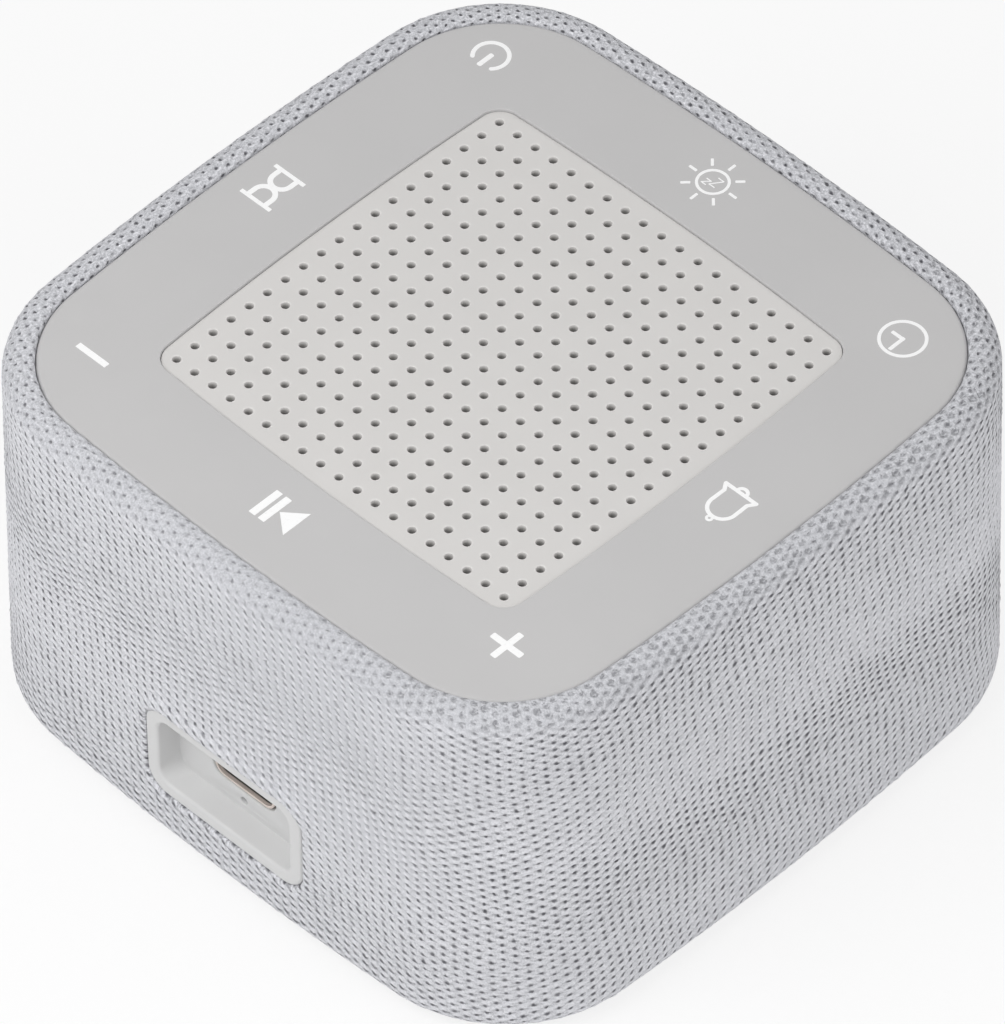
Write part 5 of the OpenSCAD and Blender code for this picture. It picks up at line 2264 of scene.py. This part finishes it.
@dataclass
class Wardrobe:
    """Every finish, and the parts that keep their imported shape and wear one."""

    looks: dict[str, bpy.types.Material] = field(default_factory=dict)

    def stock(self, port: PortPlace) -> None:
        """Makes every finish.

        Args:
            port: The socket recess's place, round which the knit's finish changes.
        """
        finishes = (
            # The knit's yarn, its pale yarn that also serves as painted highlight, and the colour of the painted shade
            # in its openings.
            Knit("knit_fabric", "D6D7DC", "EFEFF4", "56565C", port),
            Moulded("shell_plastic", "C9C8C6", 0.5, 0.2, 0.005),
            Moulded("cover_plastic", "C6C5C2", 0.55, 0.3, 0.012, 0.02, 0.5),
            Rubber("foot_rubber", "3B3B3D", "55554F"),
            Metal("screw_steel", "C4C2BC", 0.3),
            Silicone("panel_silicone", "C2C1C1"),
            Ink("sign_ink", "FBFBFB"),
            # The grille's holes get painted shade below its face.
            DrilledPlastic("grille_plastic", "D3D1CF", 0.5, 0.2, 0.004, 0.012,
                           face=float(extent("speaker_grille")[1][2])),
            Cloth("mesh_cloth", "2C2C2E"),
            Moulded("key_plastic", "D8D6D0", 0.4, 0.3, 0.003),
            Laminate("board_laminate", "1D5A3C", "4F8A55"),
            Moulded("switch_plastic", "2B2B2D", 0.5, 0.2, 0.006),
            Foam("gasket_foam", "3A3A3C"),
            Metal("basket_steel", "A9AAAC", 0.38, (1.0, 1.0, 8.0)),
            Rubber("surround_rubber", "2A2A2B", "3C3C3C"),
            Cloth("spider_cloth", "B98F4F", 0.3, 0.7),
            Paper("cone_paper", "3A3936"),
            Winding("coil_copper", "B8683A"),
            Laminate("tag_laminate", "8A6A3A", "C9A25E", 1.6),
            Ferrite("magnet_ferrite", "2A2A2C"),
            Moulded("bezel_plastic", "D2D2D2", 0.42, 0.25, 0.003, 0.012, 0.7),
            # The socket's steel gets painted shade deeper in than its mouth.
            SocketMetal("socket_steel", "DCCFC7", 0.5, (9.0, 1.0, 1.0), metallic=0.2,
                        mouth=float(extent("socket_shell")[1][1])),
            Moulded("tongue_plastic", "3A3735", 0.4, 0.15, 0.004),
            Film("lamp_lens", "6C6966", 0.2),
            Moulded("chip_plastic", "1F2022", 0.55, 0.12, 0.008),
            Metal("capacitor_aluminium", "BFC2C6", 0.3, (1.0, 1.0, 12.0)),
            Moulded("connector_nylon", "E2DCCB", 0.4, 0.3, 0.004),
            Foil("cell_foil", "B4B7BB"),
            Film("film_plastic", "B9BABD", 0.35),
            Film("display_lamp", "F3EFD8", 0.3),
            Ribbon("ribbon_film", "E4E2DA", "9A8F78"),
            Ribbon("display_ribbon_film", "E4E2DA", "9A8F78", 0.5, True),
            Rubber("lead_jacket", "222224", "303032"),
            Rubber("battery_jacket", "A3211E", "B5332C"),
        )
        for finish in finishes:
            self.looks[finish.name] = finish.material()

    def dress(self) -> None:
        """Puts its slot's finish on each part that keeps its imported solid."""
        own = {"display_lamps": "display_lamp"}
        for part in frame["record"]["subparts"]:
            name, look = part["node"], own.get(part["node"], part["material_slot"])
            slots = frame["nodes"][name].data.materials
            slots.clear()
            slots.append(self.looks[look])
            LOG.info("%s wears %s", name, look)


# ---- The studio ----


@dataclass
class Studio:
    """The pale floor, the soft light and the camera."""

    place: tuple[float, float, float] = (-636.0885, 632.7468, 1006.2527)
    right: tuple[float, float, float] = (-0.7120896, -0.7020304, -0.0090440)
    up: tuple[float, float, float] = (0.5139820, -0.5300355, 0.6744515)
    back: tuple[float, float, float] = (-0.4782791, 0.4756215, 0.7382637)
    lens: float = 436.23
    floor_half: float = 6000.0
    world_light: float = 0.475

    def build(self) -> None:
        """Sets the whole studio."""
        self._camera()
        self._world()
        self._floor()
        self._lamps()
        settings = bpy.context.scene.view_settings
        settings.view_transform = "Standard"

    def _camera(self) -> None:
        """The camera at the photograph's place."""
        data = bpy.data.cameras.new("camera")
        data.lens = self.lens
        data.sensor_width = 36.0
        data.clip_start, data.clip_end = 0.05, 50.0
        camera = bpy.data.objects.new("camera", data)
        bpy.context.scene.collection.objects.link(camera)
        turn = Matrix((self.right, self.up, self.back)).transposed().to_4x4()
        camera.matrix_world = Matrix.Translation(Vector(self.place) * MM) @ turn
        bpy.context.scene.camera = camera

    def _world(self) -> None:
        """A pale room that shows as white behind the object and in its gloss."""
        world = bpy.data.worlds.new("studio")
        bpy.context.scene.world = world
        world.use_nodes = True
        tree = world.node_tree
        tree.nodes.clear()
        rays = tree.nodes.new("ShaderNodeLightPath")
        seen = None
        for ray in ("Is Camera Ray", "Is Glossy Ray", "Is Transmission Ray"):
            if seen is None:
                seen = rays.outputs[ray]
                continue
            add = tree.nodes.new("ShaderNodeMath")
            add.operation = "MAXIMUM"
            tree.links.new(seen, add.inputs[0])
            tree.links.new(rays.outputs[ray], add.inputs[1])
            seen = add.outputs[0]
        strength = tree.nodes.new("ShaderNodeMapRange")
        strength.inputs["To Min"].default_value = self.world_light
        strength.inputs["To Max"].default_value = 1.0
        tree.links.new(seen, strength.inputs["Value"])
        sky = tree.nodes.new("ShaderNodeBackground")
        sky.inputs["Color"].default_value = (1.0, 1.0, 1.0, 1.0)
        tree.links.new(strength.outputs[0], sky.inputs["Strength"])
        output = tree.nodes.new("ShaderNodeOutputWorld")
        tree.links.new(sky.outputs[0], output.inputs["Surface"])

    def _floor(self) -> None:
        """A pale floor that keeps a light shadow."""
        graph = Graph("pale_floor")
        at = graph.place()
        tone = graph.mix(paint("F4F4F4"), paint("F9F9F9"), graph.noise(at, 180.0, 2))
        cover = graph.node("ShaderNodeBsdfDiffuse", {}, {"Color": tone})
        glow = graph.node("ShaderNodeEmission", {}, {"Color": (1.0, 1.0, 1.0, 1.0), "Strength": 1.0})
        rays = graph.node("ShaderNodeLightPath")
        seen = Value(graph, rays.outputs["Is Camera Ray"]).greatest(
            Value(graph, rays.outputs["Is Glossy Ray"])).greatest(
            Value(graph, rays.outputs["Is Transmission Ray"]))
        mixed = graph.node("ShaderNodeMixShader", {}, {0: seen * 0.8})
        graph.tree.links.new(cover.outputs[0], mixed.inputs[1])
        graph.tree.links.new(glow.outputs[0], mixed.inputs[2])
        output = graph.node("ShaderNodeOutputMaterial")
        graph.tree.links.new(mixed.outputs[0], output.inputs["Surface"])
        steps = 12
        line = np.linspace(-self.floor_half, self.floor_half, steps)
        points = np.array([(x, y, -0.05) for y in line for x in line])
        floor = new_object("floor", points, quads(steps, steps, False, False), graph.material)
        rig.stage(floor)

    def _lamps(self) -> None:
        """Three large soft lamps."""
        self._lamp("key_light", (30, 275, 355), 280, 0.92)
        self._lamp("fill_light", (-560, -60, 420), 500, 1.08)
        self._lamp("rim_light", (320, -420, 560), 480, 0.2)

    @staticmethod
    def _lamp(name: str, place: tuple[float, float, float], size: float, power: float) -> None:
        """One square lamp turned to the object.

        Args:
            name: The lamp's name.
            place: Where it stands, in millimetres.
            size: Its side.
            power: Its power in watts.
        """
        data = bpy.data.lights.new(name, "AREA")
        data.shape = "SQUARE"
        data.size = size * MM
        data.energy = power
        lamp = bpy.data.objects.new(name, data)
        bpy.context.scene.collection.objects.link(lamp)
        at = Vector(place) * MM
        lamp.location = at
        lamp.rotation_mode = "QUATERNION"
        lamp.rotation_quaternion = (Vector((0.0, 0.0, 0.025)) - at).to_track_quat("-Z", "Y")


def main() -> None:
    """Builds the object, then the studio, and notes the sizes."""
    logging.basicConfig(level=logging.INFO, format="%(message)s")
    body = BowedSquare(float(extent("fabric_sleeve")[1][0]), 18.6)
    grille = BowedSquare(26.9, 2.7)
    sleeve = KnitSleeve(body)
    wardrobe = Wardrobe()
    wardrobe.stock(sleeve.port)
    looks = wardrobe.looks
    Studio().build()
    sleeve.build(looks["knit_fabric"])
    panel = KeyPanel(body, grille)
    panel.build(looks["panel_silicone"])
    panel.print_signs(looks["sign_ink"])
    Grille(grille).build(looks["grille_plastic"])
    PortBezel().build(looks["bezel_plastic"])
    SoftInside(grille).build(looks)
    wardrobe.dress()
    sizes = {"cad": [list(p) for p in CAD_BOX], "visual": [list(p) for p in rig.bounds()]}
    with open("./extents.json", "w") as file:
        json.dump(sizes, file)


if __name__ == "__main__":
    main()
